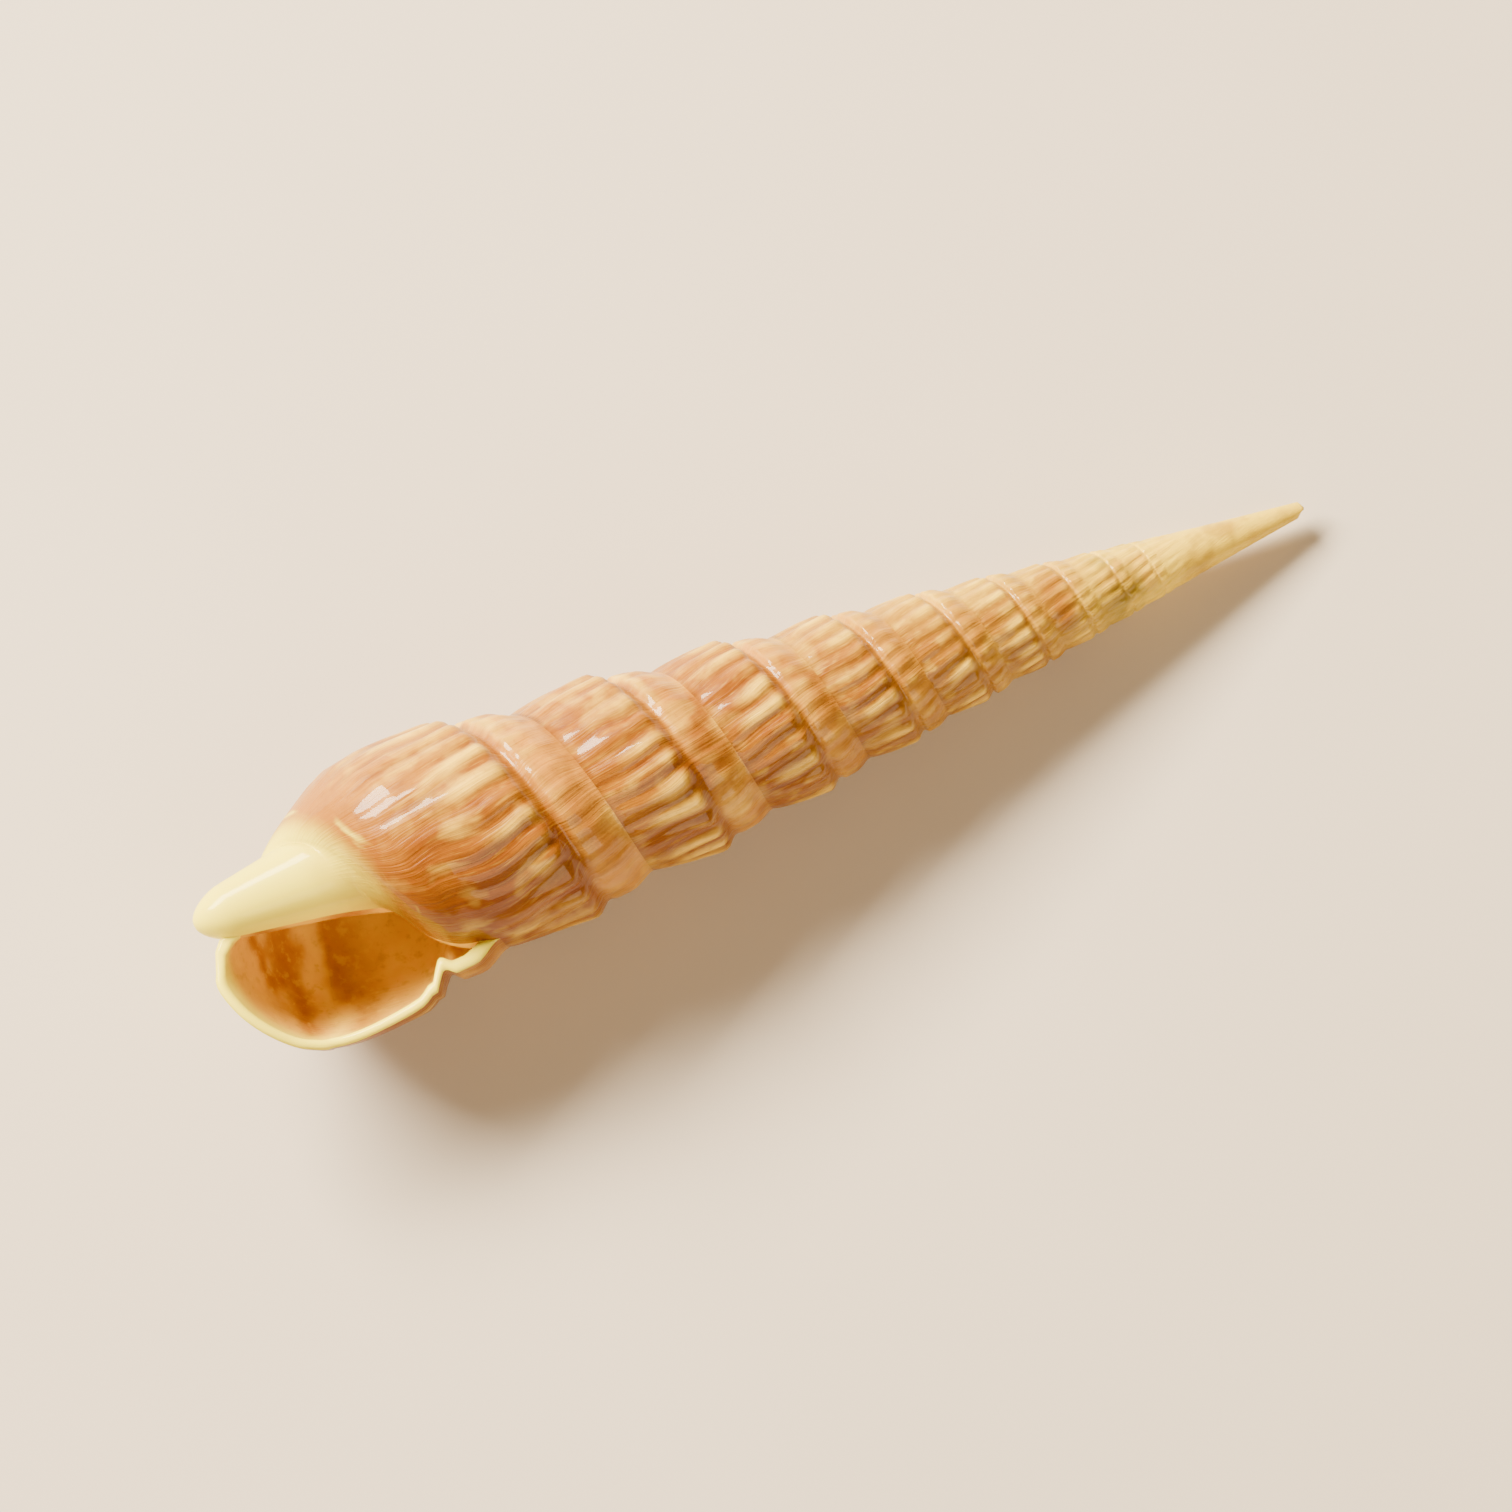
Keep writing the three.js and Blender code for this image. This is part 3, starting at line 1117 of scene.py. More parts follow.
class ShellForm:
    """The whole shell as one grown surface."""

    def __init__(
        self, winding: Winding, outline: Outline, ribs: Ribs, mouth: Mouth, keys: Keys, lay: Lay
    ) -> None:
        """Keeps what it is made from.

        Args:
            winding: how the whorls wind.
            outline: the cone and the whorl's relief.
            ribs: the ribs.
            mouth: lip, spout, pillar and wall.
            keys: the base's points.
            lay: how the shell lies.
        """
        self.parts = (winding, outline, ribs, mouth)
        self.winding = winding
        self.keys = keys
        self.lay = lay
        self.mesh = Mesh()

    def sizes(self) -> dict[str, float]:
        """Every named size of the shell.

        Returns:
            The sizes by name.
        """
        return {f.name: getattr(part, f.name) for part in self.parts for f in fields(part)}

    def tree(self, finish: bpy.types.Material) -> bpy.types.GeometryNodeTree:
        """Writes the growing rule as one geometry tree.

        Args:
            finish: the shell's material.

        Returns:
            The tree, with one input for each size.
        """
        tree = bpy.data.node_groups.new("shell growth", "GeometryNodeTree")
        tree.interface.new_socket("Geometry", in_out="INPUT", socket_type="NodeSocketGeometry")
        tree.interface.new_socket("Geometry", in_out="OUTPUT", socket_type="NodeSocketGeometry")
        n = Maker(tree)
        growth = Growth(n, Sizes(tree, n.add("NodeGroupInput"), self.sizes()), self.keys, {})
        w, m = self.winding, self.mesh
        rules = {
            "smooth tip": lambda g: self.whorls(g, w.first_turn, w.tip_join, m.tip_rows),
            "ribbed whorls": lambda g: self.whorls(g, w.tip_join, w.lip_turn, m.whorl_rows),
            "base": self.base,
            "stem": self.stem,
            "spout": self.spout,
            "hollow wall": self.hollow_wall,
            "hollow base": self.hollow_base,
            "pillar": self.pillar,
            "lip": self.lip,
            "crown": self.crown,
            "crown edge": self.crown_edge,
        }
        sheets = [growth.use(name, rule)[0] for name, rule in rules.items()]
        joined = n.add("GeometryNodeJoinGeometry")
        for sheet in sheets:
            tree.links.new(sheet, joined.inputs[0])
        welded = n.add("GeometryNodeMergeByDistance", {"Geometry": joined.outputs[0], "Distance": m.weld})
        matrix = self.lay.matrix()
        turn = {"Rotation": matrix.to_euler(), "Translation": matrix.to_translation()}
        lying = n.add("GeometryNodeTransform", {"Geometry": welded.outputs[0], **turn})
        position = n.add("GeometryNodeInputPosition").outputs[0]
        parts = n.add("ShaderNodeSeparateXYZ", {0: position})
        height = n.math("MAXIMUM", Value(n, parts.outputs[2]), 0.0)
        floored = n.point(Value(n, parts.outputs[0]), Value(n, parts.outputs[1]), height)
        resting = n.add("GeometryNodeSetPosition", {"Geometry": lying.outputs[0], "Position": floored})
        scaled = n.add("GeometryNodeTransform", {"Geometry": resting.outputs[0], "Scale": (MM, MM, MM)})
        smooth = n.add("GeometryNodeSetShadeSmooth", {"Geometry": scaled.outputs[0]})
        real = n.add("GeometryNodeRealizeInstances", {"Geometry": smooth.outputs[0]})
        coloured = n.add("GeometryNodeSetMaterial", {"Geometry": real.outputs[0], "Material": finish})
        n.add("NodeGroupOutput", {"Geometry": coloured.outputs[0]})
        return tree

    def marks(self, sheet: Sheet, spot: Place, across: Number, side: Side, rim: Number = 0.0) -> dict:
        """The marks of a sheet's points.

        Args:
            sheet: the sheet.
            spot: its points.
            across: place across the whorl, going on over 1 on the base and over 2 on the spout.
            side: outside or hollow.
            rim: 1 on the lip's edge.

        Returns:
            The number of each mark.
        """
        growth = sheet.growth
        cone = growth.cone(spot.x)
        where = growth.laid_out(Place(spot.x, cone, growth.angle(sheet.turn, across, 0.0)))
        return {
            Mark.TURN: sheet.turn,
            Mark.ACROSS: across,
            Mark.RIB: growth.rib_phase(sheet.turn, where),
            Mark.ALONG: spot.x,
            Mark.HOLLOW: side.value,
            Mark.RIM: rim,
        }

    def whorls(self, growth: Growth, first: float, last: float, rows: Sequence[float]) -> list:
        """The outer face between the seams.

        Args:
            growth: the rule.
            first: the first turn.
            last: the last turn.
            rows: the places across a whorl.

        Returns:
            The sheet.
        """
        sheet = Sheet(growth, first, last, rows, self.mesh.columns)
        spot = growth.on_whorl(sheet.turn, sheet.place)
        return [sheet.laid(growth.laid_out(spot), self.marks(sheet, spot, sheet.place, Side.OUTSIDE))]

    def last_sheet(self, growth: Growth, rows: Sequence[float]) -> Sheet:
        """An empty sheet over the last whorl, up to the lip.

        Args:
            growth: the rule.
            rows: the place of each row.

        Returns:
            The sheet, still flat.
        """
        w = self.winding
        return Sheet(growth, w.lip_turn - 1 + w.lean, w.lip_turn, rows, self.mesh.columns)

    def base(self, growth: Growth) -> list:
        """The base under the last whorl.

        Args:
            growth: the rule.

        Returns:
            The sheet.
        """
        base = self.last_sheet(growth, self.mesh.base_rows)
        spot = growth.on_base(base.turn, base.row, self.mesh.base_rows)
        return [base.laid(growth.laid_out(spot), self.marks(base, spot, base.place + 1, Side.OUTSIDE))]

    def stem(self, growth: Growth) -> list:
        """The spout's stem between the neck and the end of the open canal.

        Args:
            growth: the rule.

        Returns:
            The sheet.
        """
        stem = self.last_sheet(growth, self.mesh.stem_rows)
        x = growth.n.mix(growth.neck(stem.turn), growth.s["canal_end"], stem.place)
        spot = growth.on_stem(stem.turn, x)
        return [stem.laid(growth.laid_out(spot), self.marks(stem, spot, stem.place + 2, Side.OUTSIDE))]

    def spout(self, growth: Growth) -> list:
        """The round end of the spout.

        Args:
            growth: the rule.

        Returns:
            The sheet.
        """
        spout = self.last_sheet(growth, self.mesh.spout_rows)
        spot = growth.on_stem(spout.turn, growth.s["canal_end"] * (1 - spout.place))
        return [spout.laid(growth.laid_out(spot), self.marks(spout, spot, spout.place + 3, Side.OUTSIDE))]

    def hollow_points(self, growth: Growth, turn: Number, row: Value) -> bpy.types.NodeSocket:
        """The hollow's outer wall, the outer face set inwards, with the rows of whorl and base.

        Args:
            growth: the rule.
            turn: turns along the winding.
            row: the row, counted from 0 over whorl and base together.

        Returns:
            Each point's place.
        """
        return growth.use("points of the hollow", self.hollow_points_rule, turn=turn, row=row)[0]

    def hollow_points_rule(self, growth: Growth, turn: Value, row: Value) -> list:
        """Writes the inside of hollow_points' group.

        Args:
            growth: the rule.
            turn: turns along the winding.
            row: the row, counted from 0.

        Returns:
            The group's outputs.
        """
        n, s, m = growth.n, growth.s, self.mesh
        count = len(m.whorl_rows)
        on_base = [1.0] * (len(m.base_rows) - 1)
        across = growth.choose(row, [max(v, m.corner_share) for v in m.whorl_rows] + on_base)
        thick = n.mix(s["band_wall"], s["lip_band_wall"], n.ease(0.2, 0.5, turn))
        wall = n.mix(thick, s["wall"], n.ease(s["band_edge"], s["shoulder"] + 0.02, across))
        side = growth.laid_out(growth.on_whorl(turn, across, wall, ribbed=0.0))
        corner_turn = turn - (1 - s["lean"])
        first = growth.choose(row, [0.0] * (count + len(m.base_rows) - 1))
        corner = growth.laid_out(growth.on_base(corner_turn, first, [self.keys.edge_step] * 2, ribbed=0.0))
        from_corner = [min(v / m.corner_share, 1.0) for v in m.whorl_rows]
        share = growth.choose(row, from_corner + on_base)
        upper = n.blend(corner, side, share)
        base_row = n.math("MAXIMUM", row - (count - 1), 0.0)
        steps = list(m.base_rows)
        spot = growth.on_base(turn, base_row, steps, ribbed=0.0)
        steps_before = [max(p - m.slope_step, 0.0) for p in steps]
        steps_after = [min(p + m.slope_step, 1.0) for p in steps]
        before = growth.on_base(turn, base_row, steps_before, ribbed=0.0)
        after = growth.on_base(turn, base_row, steps_after, ribbed=0.0)
        dx = after.x - before.x
        dr = after.radius - before.radius
        long = n.math("MAXIMUM", n.math("SQRT", dx * dx + dr * dr), 0.0001)
        end = growth.on_stem(turn, growth.hollow_end(turn))
        step = growth.choose(base_row, steps)
        to_end = n.ease(0.84, 1.0, step)
        x = n.mix(spot.x - s["wall"] * dr / long, end.x, to_end)
        radius = n.mix(spot.radius + s["wall"] * dx / long, end.radius, to_end)
        straight = growth.on_whorl(turn, 1.0, s["wall"], ribbed=0.0)
        to_side = n.ease(0.1, 0.0, step)
        x = n.mix(x, straight.x, to_side)
        radius = n.mix(radius, straight.radius, to_side)
        lower = growth.laid_out(Place(x, radius, n.mix(spot.angle, end.angle, to_end)))
        is_base = n.math("GREATER_THAN", row, count - 0.5)
        return [n.blend(upper, lower, is_base)]

    def hollow_wall(self, growth: Growth) -> list:
        """The hollow's outer wall.

        Args:
            growth: the rule.

        Returns:
            The sheet.
        """
        w, m, n = self.winding, self.mesh, growth.n
        rows = [*m.whorl_rows, *[1 + p for p in m.base_rows[1:]]]
        wall = Sheet(growth, w.lip_turn - m.hollow_turns, w.lip_turn, rows, m.columns)
        where = self.hollow_points(growth, wall.turn, wall.row)
        x = growth.place(wall.turn, n.math("MINIMUM", wall.place, 1.4))
        spot = Place(x, growth.cone(x), growth.angle(wall.turn, 1.0, 0.0))
        laid = wall.laid(where, self.marks(wall, spot, wall.place, Side.HOLLOW))
        return [n.add("GeometryNodeFlipFaces", {"Mesh": laid}).outputs[0]]

    def hollow_base(self, growth: Growth) -> list:
        """The hollow's inner wall, the base of the whorl before.

        Args:
            growth: the rule.

        Returns:
            The sheet.
        """
        w, m = self.winding, self.mesh
        start = w.lip_turn - 1 + w.lean
        rows = [p for p in m.base_rows if p > self.keys.edge_step - m.weld]
        base = Sheet(growth, start - m.hollow_turns, start, rows, m.columns)
        spot = growth.on_base(base.turn, base.row, rows)
        return [base.laid(growth.laid_out(spot), self.marks(base, spot, base.place + 1, Side.HOLLOW))]

    def pillar(self, growth: Growth) -> list:
        """The pillar inside the whorls.

        Args:
            growth: the rule.

        Returns:
            The sheet.
        """
        w, m = self.winding, self.mesh
        start = w.lip_turn - 1 + w.lean
        rows = [p for p in m.stem_rows if p < m.stem_inside + m.weld]
        stem = Sheet(growth, start - m.hollow_turns, start, rows, m.columns)
        end = growth.hollow_end(stem.turn + (1 - growth.s["lean"]))
        spot = growth.on_stem(stem.turn, growth.n.mix(growth.neck(stem.turn), end, stem.place / m.stem_inside))
        return [stem.laid(growth.laid_out(spot), self.marks(stem, spot, stem.place + 2, Side.HOLLOW))]

    def lip(self, growth: Growth) -> list:
        """The lip's rounded edge between the outer face and the hollow.

        Args:
            growth: the rule.

        Returns:
            The sheet.
        """
        w, m, n, s = self.winding, self.mesh, growth.n, growth.s
        rows = [*m.whorl_rows, *[1 + p for p in m.base_rows[1:]]]
        count = len(m.whorl_rows)
        strip = Sheet(growth, 0.0, 3.0, rows, 1)
        turn = strip.column * 0.0 + w.lip_turn
        strip.turn = turn
        across = growth.choose(strip.row, [*m.whorl_rows, *[1.0] * (len(m.base_rows) - 1)])
        upper = growth.laid_out(growth.on_whorl(turn, across))
        base_row = n.math("MAXIMUM", strip.row - (count - 1), 0.0)
        lower = growth.laid_out(growth.on_base(turn, base_row, list(m.base_rows)))
        is_base = n.math("GREATER_THAN", strip.row, count - 0.5)
        outer = n.blend(upper, lower, is_base)
        inner = self.hollow_points(growth, turn, strip.row)
        share = strip.column / 3.0
        straight = n.blend(outer, inner, share)
        ends = n.ease(0.0, 0.1, strip.place) * n.ease(1.97, 1.8, strip.place)
        bulge = n.math("SINE", share * math.pi) * s["rim_round"] * ends
        parts = n.add("ShaderNodeSeparateXYZ", {0: straight})
        axis = n.add("ShaderNodeCombineXYZ", {0: 1.0, 1: 0.0, 2: 0.0}).outputs[0]
        flat = n.point(0.0, Value(n, parts.outputs[1]), Value(n, parts.outputs[2]))
        ahead = n.add("ShaderNodeVectorMath", {0: axis, 1: flat}, operation="CROSS_PRODUCT").outputs[0]
        ahead = n.add("ShaderNodeVectorMath", {0: ahead}, operation="NORMALIZE").outputs[0]
        back = {0: ahead, "Scale": bulge * -1.0}
        push = n.add("ShaderNodeVectorMath", back, operation="SCALE").outputs[0]
        where = n.add("ShaderNodeVectorMath", {0: straight, 1: push}, operation="ADD").outputs[0]
        x = growth.place(turn, n.math("MINIMUM", strip.place, 1.4))
        spot = Place(x, growth.cone(x), growth.angle(turn, 1.0, 0.0))
        return [strip.laid(where, self.marks(strip, spot, strip.place, Side.HOLLOW, 1.0))]

    def crown_point(self, growth: Growth) -> bpy.types.NodeSocket:
        """The middle of the spire's blunt end.

        Args:
            growth: the rule.

        Returns:
            The point.
        """
        w = self.winding
        return growth.n.point(growth.place(w.first_turn, 0.0) + w.blunt_end, 0.0, 0.0)

    def crown(self, growth: Growth) -> list:
        """The blunt end of the spire.

        Args:
            growth: the rule.

        Returns:
            The sheet.
        """
        w = self.winding
        ring = Sheet(growth, w.first_turn, w.first_turn + 1 - w.lean, (0.0, 1.0), self.mesh.columns)
        spot = growth.on_whorl(ring.turn, 0.0)
        where = growth.n.blend(self.crown_point(growth), growth.laid_out(spot), ring.place)
        return [ring.laid(where, self.marks(ring, spot, 0.5, Side.OUTSIDE))]

    def crown_edge(self, growth: Growth) -> list:
        """The step where the first whorl starts.

        Args:
            growth: the rule.

        Returns:
            The sheet.
        """
        edge = Sheet(growth, 0.0, 1.0, self.mesh.tip_rows, 1)
        edge.turn = edge.column * 0.0 + self.winding.first_turn
        spot = growth.on_whorl(edge.turn, edge.place)
        where = growth.n.blend(self.crown_point(growth), growth.laid_out(spot), edge.column)
        return [edge.laid(where, self.marks(edge, spot, edge.place, Side.OUTSIDE))]

    def build(self, finish: bpy.types.Material) -> bpy.types.Object:
        """Grows the shell and turns it into a plain mesh.

        Args:
            finish: the shell's material.

        Returns:
            The shell's object.
        """
        tree = self.tree(finish)
        holder = bpy.data.objects.new("shell_holder", bpy.data.meshes.new("shell_holder"))
        bpy.context.scene.collection.objects.link(holder)
        grower = holder.modifiers.new("growth", "NODES")
        grower.node_group = tree
        numbers = self.sizes()
        for item in tree.interface.items_tree:
            if item.in_out == "INPUT" and item.name in numbers:
                grower[item.identifier] = numbers[item.name]
        evaluated = holder.evaluated_get(bpy.context.evaluated_depsgraph_get())
        mesh = bpy.data.meshes.new_from_object(evaluated)
        mesh.name = "auger_shell"
        holder.modifiers.remove(grower)
        bpy.data.objects.remove(holder)
        if not mesh.materials:
            mesh.materials.append(finish)
        shell = bpy.data.objects.new("auger_shell", mesh)
        bpy.context.scene.collection.objects.link(shell)
        mesh.calc_loop_triangles()
        LOG.info("shell: %d points, %d triangles", len(mesh.vertices), len(mesh.loop_triangles))
        return shell


@dataclass(frozen=True)
class Pigments:
    """The colours of the shell, as they look in plain light."""

    tan: str = "#a87008"
    orange: str = "#8c4e05"
    red_brown: str = "#7c3a04"
    streak: str = "#6c3404"
    cream: str = "#f8ce40"
    gold: str = "#c88a2a"
    furrow: str = "#593005"
    spout: str = "#fff240"
    amber: str = "#e1ae3f"
    deep_amber: str = "#a8640e"
    olive: str = "#7a6614"
    tip: str = "#ffde34"


@dataclass(frozen=True)
class Gloss:
    """Polished shell lime: a fresh auger is as shiny as glazed china, with light sinking in a little."""

    roughness: float = 0.34
    index: float = 1.5
    mirror: float = 0.15
    coat: float = 0.38
    coat_roughness: float = 0.05
    under_skin: float = 0.06
    under_reach: float = 0.0006
    under_tint: tuple[float, float, float] = (1.0, 0.6, 0.3)
    thread_strength: float = 0.6
    thread_height: float = 0.00015


@dataclass(frozen=True)
class Mottling:
    """How wide one blotch of each pattern is on the shell, in millimetres."""

    clouds: float = 3.846
    wide: float = 9.091
    grain: float = 0.2778
    spots: float = 2.381
    waver: float = 1.4286
    sway: float = 3.3333
    soft: float = 5.0
    blotch: float = 1.923
    pits: float = 1.1111
    sheen: float = 2.857
    hollow_clouds: float = 3.0303
    hollow_grain: float = 0.5


@dataclass(frozen=True)
class Spot:
    """What the colour of one spot of the outer face is mixed from."""

    place: bpy.types.NodeSocket
    turn: Value
    across: Value
    wavy: Value
    rib: Value
    along: Value
    top: Value
    own: Value
    strong: Value
    up: Value
    sunny: Value
    ribbed: Value
    clouds: Value
    wide: Value
    spots: Value
    streaks: Value
    threads: Value
    hairs: Value


class ShellFinish:
    """Glossy grown lime with ribs picked out in cream, brown streaks between them and an amber inside."""

    def __init__(self, pigments: Pigments, gloss: Gloss, mottling: Mottling) -> None:
        """Keeps what it is made from.

        Args:
            pigments: the colours.
            gloss: the shine.
            mottling: the sizes of the patterns.
        """
        self.pigments = pigments
        self.gloss = gloss
        self.mottling = mottling

    def mark(self, n: Maker, mark: Mark) -> Value:
        """Reads one mark of the grown surface.

        Args:
            n: the material's tree.
            mark: which mark.

        Returns:
            Its number.
        """
        node = n.add("ShaderNodeAttribute", attribute_name=mark.value, attribute_type="GEOMETRY")
        return Value(n, node.outputs["Fac"])

    def build(self) -> bpy.types.Material:
        """Makes the material.

        Returns:
            The material.
        """
        material = bpy.data.materials.new("glossy_shell_lime")
        material.use_nodes = True
        material.node_tree.nodes.clear()
        n = Maker(material.node_tree)
        hollow, rim = self.mark(n, Mark.HOLLOW), self.mark(n, Mark.RIM)
        spot = self.spot(n)
        colour = n.colour(self.outside(n, spot), self.inside(n, spot), hollow)
        colour = n.colour(colour, self.pigments.spout, rim * 0.9)
        lines = n.noise(n.point(spot.rib * 6.0, spot.across * 1.2, 0.0), 1.0, 3.0, 0.6)
        pits = n.blotches(spot.place, self.mottling.pits, 2.0, 0.6)
        quiet = (1 - hollow * 0.7) * n.ease(2.2, 1.6, spot.across)
        g = self.gloss
        height = (lines * 0.7 + pits * 0.3) * quiet
        bump = {"Height": height, "Strength": g.thread_strength, "Distance": g.thread_height}
        sheen = n.blotches(spot.place, self.mottling.sheen)
        shader = n.add(
            "ShaderNodeBsdfPrincipled",
            {
                "Base Color": colour,
                "Roughness": g.roughness + 0.18 * (sheen - 0.5) + 0.1 * (lines - 0.5),
                "IOR": g.index,
                "Specular IOR Level": g.mirror,
                "Coat Weight": g.coat,
                "Coat Roughness": g.coat_roughness,
                "Subsurface Weight": g.under_skin,
                "Subsurface Scale": g.under_reach,
                "Subsurface Radius": g.under_tint,
                "Normal": n.add("ShaderNodeBump", bump).outputs[0],
            },
        )
        n.add("ShaderNodeOutputMaterial", {"Surface": shader.outputs[0]})
        LOG.info("finish: %d nodes", len(material.node_tree.nodes))
        return material

    def spot(self, n: Maker) -> Spot:
        """Reads the marks and lays out the patterns that the colours are mixed from.

        Args:
            n: the material's tree.

        Returns:
            The marks and patterns.
        """
        size = self.mottling
        place = n.add("ShaderNodeTexCoord").outputs["Object"]
        turn, across = self.mark(n, Mark.TURN), self.mark(n, Mark.ACROSS)
        rib, along = self.mark(n, Mark.RIB), self.mark(n, Mark.ALONG)
        waver = (n.blotches(place, size.waver) - 0.5) * 0.1
        sway = (n.blotches(place, size.sway, 1.0) - 0.5) * 0.08
        each = {"W": n.math("ROUND", rib)}
        own = Value(n, n.add("ShaderNodeTexWhiteNoise", each, noise_dimensions="1D").outputs[0])
        up = n.ease(20.0, 40.0, along)
        started = n.math("MAXIMUM", n.ease(0.36, 0.46, across), 0.7 * up)
        return Spot(
            place=place,
            turn=turn,
            across=across,
            wavy=across + (waver + sway),
            rib=rib,
            along=along,
            top=n.math("COSINE", rib * TAU) * 0.5 + 0.5,
            own=own,
            strong=n.ease(0.2, 0.85, own),
            up=up,
            # 1 on the side of each whorl that faces the window; the colours use it to paint light there and
            # shade on the far side
            sunny=n.ease(-0.3, 0.8, n.math("COSINE", (turn - SUNNY_TURN) * TAU)),
            ribbed=started * n.ease(1.35, 1.05, across),
            clouds=n.blotches(place, size.clouds, 3.0, 0.6),
            wide=n.blotches(place, size.wide),
            spots=n.blotches(place, size.spots, 3.0, 0.6),
            streaks=n.noise(n.point(rib * 1.6, across * 1.5, 7.0), 1.0, 3.0, 0.65),
            threads=n.noise(n.point(rib * 4.2, across * 1.3, 11.0), 1.0, 3.0, 0.7),
            hairs=n.noise(n.point(rib * 10.0, across * 5.0, 5.0), 1.0, 2.0, 0.6),
        )

    def outside(self, n: Maker, spot: Spot) -> bpy.types.NodeSocket:
        """Colour of the outer face.

        Args:
            n: the material's tree.
            spot: the marks and patterns.

        Returns:
            The colour.
        """
        colour = self.ribs(n, spot, self.ground(n, spot))
        on_band = n.ease(0.36, 0.28, spot.wavy)
        colour = n.colour(colour, self.band(n, spot), on_band * (0.9 - 0.5 * spot.up))
        colour = self.furrow(n, spot, colour)
        colour = self.mottled(n, spot, colour, on_band)
        return self.ends(n, spot, colour)

    def ground(self, n: Maker, spot: Spot) -> bpy.types.NodeSocket:
        """Tan on the lit side, orange on the other, with red-brown clouds.

        Args:
            n: the material's tree.
            spot: the marks and patterns.

        Returns:
            The colour.
        """
        p = self.pigments
        # Painted light and shade: paler tan and gold on the side of each whorl that faces the window, more
        # red-brown on the far side
        tan = n.ease(0.38, 0.6, spot.clouds) * (0.55 + 0.45 * spot.sunny)
        brown = n.ease(0.46, 0.62, spot.wide) * 0.75
        colour = n.colour(p.orange, p.tan, tan)
        colour = n.colour(colour, p.gold, spot.sunny * 0.45)
        return n.colour(colour, p.red_brown, brown * (1 - 0.7 * spot.up) * (1 - 0.5 * spot.sunny))

    def ribs(self, n: Maker, spot: Spot, colour: bpy.types.NodeSocket) -> bpy.types.NodeSocket:
        """Brown streaks between the ribs, and cream on their tops, brightest at the shoulder.

        Args:
            n: the material's tree.
            spot: the marks and patterns.
            colour: the colour under them.

        Returns:
            The colour.
        """
        p = self.pigments
        between = n.ease(0.3, 0.0, spot.top) * n.ease(0.35, 0.6, spot.streaks) * 0.7
        lines = n.ease(0.54, 0.66, spot.threads) * 0.55
        dark = n.ease(0.52, 0.7, spot.streaks) * 0.45 + between + lines
        share = n.math("MINIMUM", dark, 1.0) * spot.ribbed * (0.65 - 0.25 * spot.up)
        colour = n.colour(colour, p.streak, share)
        reach = 0.42 + spot.own * 0.3
        blob = n.ease(reach + 0.22, reach - 0.04, spot.across) * n.ease(0.36, 0.46, spot.across)
        colour = n.colour(colour, p.cream, spot.top**1.2 * blob * (0.08 + 0.84 * spot.strong))
        flecks = n.noise(n.point(spot.rib * 1.3, spot.across * 3.0, 3.0))
        flecked = n.ease(0.5, 0.72, flecks) * (0.35 + 0.65 * spot.top)
        colour = n.colour(colour, p.cream, flecked * spot.ribbed * 0.5)
        # Red-brown patches along the ribs, weaker on the side facing the window: partly the shell's own
        # colour, partly painted shade
        warm = n.ease(0.5, 0.66, n.noise(n.point(spot.rib * 0.5, spot.across * 1.6, 9.0)))
        return n.colour(colour, p.red_brown, warm * spot.ribbed * 0.55 * (1 - 0.5 * spot.sunny))

    def band(self, n: Maker, spot: Spot) -> bpy.types.NodeSocket:
        """The smooth band beside the seam, with its bright edge, which is mostly a painted highlight on the
        side facing the window.

        Args:
            n: the material's tree.
            spot: the marks and patterns.

        Returns:
            The colour.
        """
        p = self.pigments
        pale = n.ease(0.5, 0.72, n.blotches(spot.place, self.mottling.sway, 3.0))
        knobs = spot.top**2 * spot.strong
        colour = n.colour(p.gold, p.cream, pale * 0.6)
        colour = n.colour(colour, p.orange, n.ease(0.47, 0.64, spot.spots) * 0.55)
        # Painted shade: browner blotches on the side of the whorl away from the window
        colour = n.colour(colour, p.red_brown, n.ease(0.45, 0.62, spot.wide) * 0.5 * (1 - spot.sunny))
        colour = n.colour(colour, p.cream, knobs * n.hill(0.2, 0.1, spot.wavy) * 0.4)
        colour = n.colour(colour, p.streak, n.ease(0.5, 0.68, spot.threads) * 0.25)
        colour = n.colour(colour, p.cream, knobs * n.hill(0.16, 0.09, spot.wavy) * spot.up * 0.8)
        # Painted highlight: a cream line along the band's edge by the groove, strongest on the side facing the
        # window, with a little pale colour all round
        edge = n.hill(0.25, 0.07, spot.wavy) * n.ease(0.36, 0.52, spot.clouds)
        return n.colour(colour, p.cream, edge * (0.15 + 0.85 * spot.sunny))

    def furrow(self, n: Maker, spot: Spot, colour: bpy.types.NodeSocket) -> bpy.types.NodeSocket:
        """Darkens the furrow under the band and the seam with a brown line that is partly painted shade,
        darkest on the side facing the window.

        Args:
            n: the material's tree.
            spot: the marks and patterns.
            colour: the colour under them.

        Returns:
            The colour.
        """
        p = self.pigments
        patchy = n.ease(0.3, 0.6, n.blotches(spot.place, self.mottling.soft))
        # Painted shade in the furrow and seam: strongest on the side facing the window, weaker on the upper
        # whorls, in patches
        soft = patchy * (1 - 0.4 * spot.up) * (0.15 + 0.85 * spot.sunny)
        colour = n.colour(colour, p.furrow, n.hill(0.335, 0.045, spot.wavy) * 0.6 * soft)
        lower = n.hill(1.0, 0.04, spot.wavy) * n.ease(-0.3, -0.42, spot.turn)
        seam = n.math("MAXIMUM", n.ease(0.03, 0.0, spot.wavy), lower)
        return n.colour(colour, p.furrow, seam * (0.15 + 0.5 * soft))

